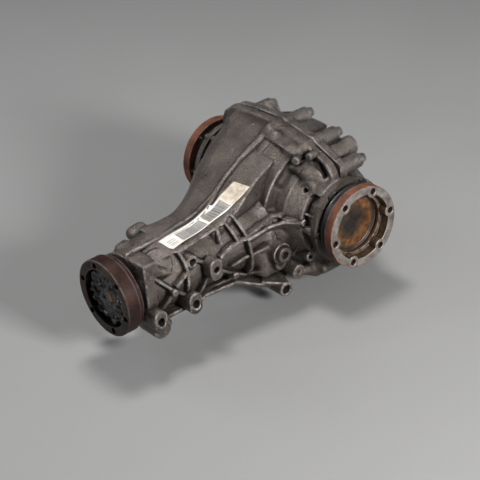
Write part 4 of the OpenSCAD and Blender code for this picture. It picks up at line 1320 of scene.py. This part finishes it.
def input_flange_paint(name):
    """Dark brown band, oily dark face and cup, painted shade darkening it towards the bottom, and a
    ground hub.
    """
    m = Paint(name)
    # where the face, the cup's floor and the hub are, in metres
    face_y, face_r, cup_y, cup_r, hub_y = -0.3072, 0.0494, -0.2995, 0.0382, -0.2938
    y = m.across(0, 1, 0)
    r = m.radius((1, 0, 1))
    ragged = m.noise(140, 5, 0.7, shift=2.0)
    blotch = m.patches(50, 6, 0.65, (0.36, 0), (0.66, 1))
    rust = m.mix(blotch, (0.009, 0.005, 0.004), (0.042, 0.016, 0.011))
    pale = m.patches(210, 4, 0.7, (0.62, 0), (0.72, 1), shift=5.0)
    rust = m.over(rust, pale, 0.25, (0.12, 0.085, 0.070))
    tone = m.patches(75, 5, 0.65, (0.34, (0.016, 0.012, 0.010)), (0.72, (0.100, 0.078, 0.060)),
                     shift=1.0)
    grey = m.over(tone, m.ramp(ragged, (0.5, 0), (0.66, 1)), 0.7, (0.040, 0.022, 0.014))
    scuff = m.patches(260, 5, 0.75, (0.61, 0), (0.68, 1), shift=9.0)
    grey = m.over(grey, scuff, 0.7, (0.30, 0.28, 0.26))
    face = m.times(m.math("LESS_THAN", y, face_y), m.math("LESS_THAN", r, face_r))
    skin = m.mix(face, rust, grey)
    deep = m.times(m.math("LESS_THAN", r, cup_r), m.math("LESS_THAN", y, cup_y))
    skin = m.mix(deep, skin, (0.02, 0.016, 0.014))
    hub = m.math("GREATER_THAN", y, hub_y)
    skin = m.mix(hub, skin, (0.40, 0.39, 0.38))
    # edge wear and painted highlight: the colour lightens along outward edges
    worn_and_lit_edge = m.times(m.mark("edge"), m.ramp(ragged, (0.34, 0), (0.52, 1)))
    skin = m.over(skin, worn_and_lit_edge, 0.5, (0.24, 0.20, 0.18))
    # painted shade: the colour darkens towards the bottom
    painted_shade_low = m.ramp(m.math("MULTIPLY_ADD", m.across(0, 0, 1), -8.0, 0.5), (0.25, 0), (0.6, 1))
    skin = m.over(skin, painted_shade_low, 0.6, (0.012, 0.008, 0.007))
    shiny = m.math("ADD", m.times(face, 0.8), hub, limit=True)
    metal = m.math("MULTIPLY_ADD", shiny, 0.85, 0.05)
    relief = m.bump(m.noise(850, 4, 0.75), 0.0005, 0.6)
    return m.set(color=skin, metal=metal, rough=0.46, normal=relief, specular=0.12)


def grease_paint(name):
    """Wet black grease, with the rusty end of the pinion showing through."""
    m = Paint(name)
    far = m.vector("DISTANCE", m.where, (0.0080, AXLE[1] - 0.3145, 0.0040))
    near = m.math("MULTIPLY_ADD", m.noise(260, 4, 0.6), 0.006, far)
    rusty = m.ramp(m.times(near, 50.0), (0.44, 1), (0.54, 0))
    tone = m.patches(90, 4, 0.6, (0.35, 0.0010), (0.75, 0.0035))
    brown = m.patches(420, 4, 0.7, (0.4, (0.06, 0.030, 0.012)), (0.65, (0.24, 0.13, 0.06)))
    skin = m.mix(rusty, tone, brown)
    gloss = m.math("MULTIPLY_ADD", rusty, 0.35, 0.07)
    relief = m.bump(m.noise(110, 2, 0.5, shift=2.0), 0.0035, 1.0)
    relief = m.bump(m.noise(500, 2, 0.5), 0.0002, 0.5, relief)
    return m.set(color=skin, metal=0.0, rough=gloss, normal=relief, specular=0.5)


def label_paint(name):
    """Yellowed paper with blocks of plain bars."""
    m = Paint(name)
    along, across = m.mark("along"), m.mark("across")
    tone = m.patches(60, 5, 0.65, (0.3, (0.60, 0.57, 0.52)), (0.7, (0.76, 0.74, 0.70)))
    tan = m.patches(110, 5, 0.65, (0.35, (0.30, 0.245, 0.19)), (0.65, (0.62, 0.54, 0.45)), shift=2.0)
    tone = m.mix(m.ramp(along, (0.74, 0), (0.82, 1)), tone, tan)
    bars = m.node("ShaderNodeTexNoise", Detail=1.0)
    bars.noise_dimensions = "1D"
    m.into(bars, "W", m.times(along, 75.0))
    bar = m.math("GREATER_THAN", bars.outputs["Fac"], 0.42)

    def area(start, end, low, high):
        return m.times(m.inside(along, start, end), m.inside(across, low, high))
    block = area(0.16, 0.47, 0.22, 0.93)
    wide = area(0.50, 0.77, 0.14, 0.90)
    small = area(0.03, 0.12, 0.30, 0.80)
    thin = area(0.16, 0.42, 0.06, 0.18)
    rows = m.math("GREATER_THAN", m.math("SINE", m.times(across, 50.0)), 0.0)
    ink = m.math("ADD", m.times(block, bar), m.times(wide, bar), limit=True)
    ink = m.math("ADD", ink, m.times(m.times(thin, rows), 0.7), limit=True)
    ink = m.math("ADD", ink, m.times(m.times(small, rows), 0.8), limit=True)
    worn = m.patches(90, 5, 0.7, (0.35, 0.88), (0.7, 1.0), shift=3.0)
    skin = m.mix(m.times(ink, worn), tone, (0.03, 0.028, 0.03))
    grime = m.patches(45, 6, 0.7, (0.54, 0), (0.72, 1), shift=6.0)
    skin = m.over(skin, grime, 0.45, (0.16, 0.13, 0.10))
    relief = m.bump(m.noise(180, 4, 0.6), 0.0003, 0.6)
    return m.set(color=skin, metal=0.0, rough=0.62, normal=relief)


def steel(name, colour, rough, grain=900.0):
    """Bare or plated metal with a slightly uneven tone."""
    m = Paint(name)
    tone = m.patches(40, 4, 0.6, (0.3, 0.75), (0.75, 1.12))
    skin = m.mix(1.0, colour, tone, "MULTIPLY")
    relief = m.bump(m.noise(grain, 3, 0.6), 0.0001, 0.4)
    shine = m.patches(130, 3, 0.6, (0.3, rough * 0.8), (0.8, rough * 1.4), shift=4.0)
    return m.set(color=skin, metal=1.0, rough=shine, normal=relief)


def rubber(name):
    """Dusty black rubber."""
    m = Paint(name)
    tone = m.patches(70, 4, 0.6, (0.35, 0.010), (0.75, 0.034))
    relief = m.bump(m.noise(600, 3, 0.6), 0.0002, 0.5)
    shine = m.patches(60, 3, 0.6, (0.3, 0.22), (0.8, 0.5), shift=4.0)
    return m.set(color=tone, metal=0.0, rough=shine, normal=relief)


CAST = cast_metal("cast_aluminium", (0.064, 0.052, 0.045), (0.150, 0.128, 0.114), (0.42, 0.39, 0.37))
COVER_CAST = cast_metal("cover_aluminium", (0.070, 0.060, 0.053), (0.160, 0.142, 0.130),
                        (0.44, 0.42, 0.40))
RIGHT_FLANGE = output_flange_paint("right_flange_steel", "right")
LEFT_FLANGE = output_flange_paint("left_flange_steel", "left")
INPUT_FLANGE = input_flange_paint("input_flange_steel")
GREASE = grease_paint("black_grease")
LABEL = label_paint("label_paper")
RUST = steel("oily_nut_steel", (0.16, 0.12, 0.10), 0.5)
GROUND = steel("ground_steel", (0.42, 0.41, 0.40), 0.3)
DARK_STEEL = steel("dark_steel", (0.10, 0.095, 0.09), 0.42)
IRON = steel("ductile_iron", (0.16, 0.155, 0.155), 0.5, 500)
ZINC = steel("zinc_plate", (0.44, 0.43, 0.42), 0.33, 700)
COPPER = steel("copper_washer", (0.075, 0.056, 0.046), 0.5, 700)
DIRTY_STEEL = steel("dirty_steel", (0.15, 0.13, 0.118), 0.48)
RUBBER = rubber("black_rubber")


# ---- what each piece is made of ---------------------------------------------------------

def finish(obj, material):
    """Gives a visible piece its material."""
    obj.data.materials.clear()
    obj.data.materials.append(material)


BY_SLOT = {"cast_aluminium": CAST, "rusted_steel": RUST, "machined_steel": GROUND,
           "ductile_iron": IRON, "plated_steel": ZINC, "copper": COPPER, "black_rubber": RUBBER}
for node in frame["nodes"].values():
    for i, old in enumerate(node.data.materials):
        node.data.materials[i] = BY_SLOT[old.name.split(".")[0]]
frame["nodes"]["carrier_bolts"].data.materials[0] = DARK_STEEL

finish(housing, CAST)
finish(cover, COVER_CAST)
finish(flanges["right"], RIGHT_FLANGE)
finish(flanges["left"], LEFT_FLANGE)
finish(flanges["input"], INPUT_FLANGE)
finish(cover_screws, ZINC)
finish(fill, DIRTY_STEEL)
finish(drain, DARK_STEEL)
finish(right_ring, RUBBER)
finish(left_ring, RUBBER)
grease.data.materials.append(GREASE)
label.data.materials.append(LABEL)


# ---- camera, lights and floor -----------------------------------------------------------

CAMERA_AT = Vector((1.5197, -0.91734, 1.11996))
CAMERA_RIGHT = Vector((0.6368, 0.7656, -0.0916)).normalized()
CAMERA_BACK = Vector((0.6887, -0.5113, 0.514)).normalized()
CAMERA_UP = CAMERA_BACK.cross(CAMERA_RIGHT).normalized()
MIDDLE = (cad_low + cad_high) / 2

lens = bpy.data.cameras.new("camera")
lens.lens = 131.25
lens.sensor_width = 36.0
lens.clip_start = 0.05
lens.clip_end = 50.0
camera = in_scene(bpy.data.objects.new("camera", lens))
turn = Matrix((CAMERA_BACK.cross(CAMERA_UP) * -1, CAMERA_UP, CAMERA_BACK)).transposed()
camera.matrix_world = Matrix.Translation(CAMERA_AT) @ turn.to_4x4()
bpy.context.scene.camera = camera


def soft_light(name, at, size, power, colour=(1, 1, 1)):
    """Rectangular lamp aimed at the middle of the object."""
    lamp = bpy.data.lights.new(name, "AREA")
    lamp.shape = "RECTANGLE"
    lamp.size, lamp.size_y = size
    lamp.energy = power
    lamp.color = colour
    obj = in_scene(bpy.data.objects.new(name, lamp))
    obj.location = at
    back = (Vector(at) - MIDDLE).normalized()
    obj.rotation_mode = "QUATERNION"
    obj.rotation_quaternion = back.to_track_quat("Z", "Y")


soft_light("key", (-0.25, 0.35, 1.7), (0.4, 0.4), 20, (1.0, 0.99, 0.97))
soft_light("window", (-1.6, -0.6, 1.1), (1.0, 0.8), 8, (0.96, 0.98, 1.0))
soft_light("front", (-0.9, -1.7, 0.75), (0.12, 0.12), 5)
soft_light("side", (1.8, 0.25, 0.8), (0.35, 0.35), 56, (1.0, 0.99, 0.98))

world = bpy.data.worlds.new("studio")
bpy.context.scene.world = world
world.use_nodes = True
sky = world.node_tree.nodes["Background"]
sky.inputs["Color"].default_value = (0.78, 0.8, 0.83, 1)
sky.inputs["Strength"].default_value = 0.13

floor_mesh = bpy.data.meshes.new("floor")
reach = 6.0
level = cad_low.z - 0.0005
corners = [(-reach, -reach, level), (reach, -reach, level), (reach, reach, level), (-reach, reach, level)]
floor_mesh.from_pydata(corners, [], [(0, 1, 2, 3)])
floor = in_scene(bpy.data.objects.new("floor", floor_mesh))
floor_paint = Paint("floor_grey")
floor_tone = floor_paint.patches(1.5, 3, 0.5, (0.3, 0.25), (0.7, 0.28))
floor_mesh.materials.append(floor_paint.set(color=floor_tone, rough=0.8))
bpy.context.scene.view_settings.view_transform = "Standard"
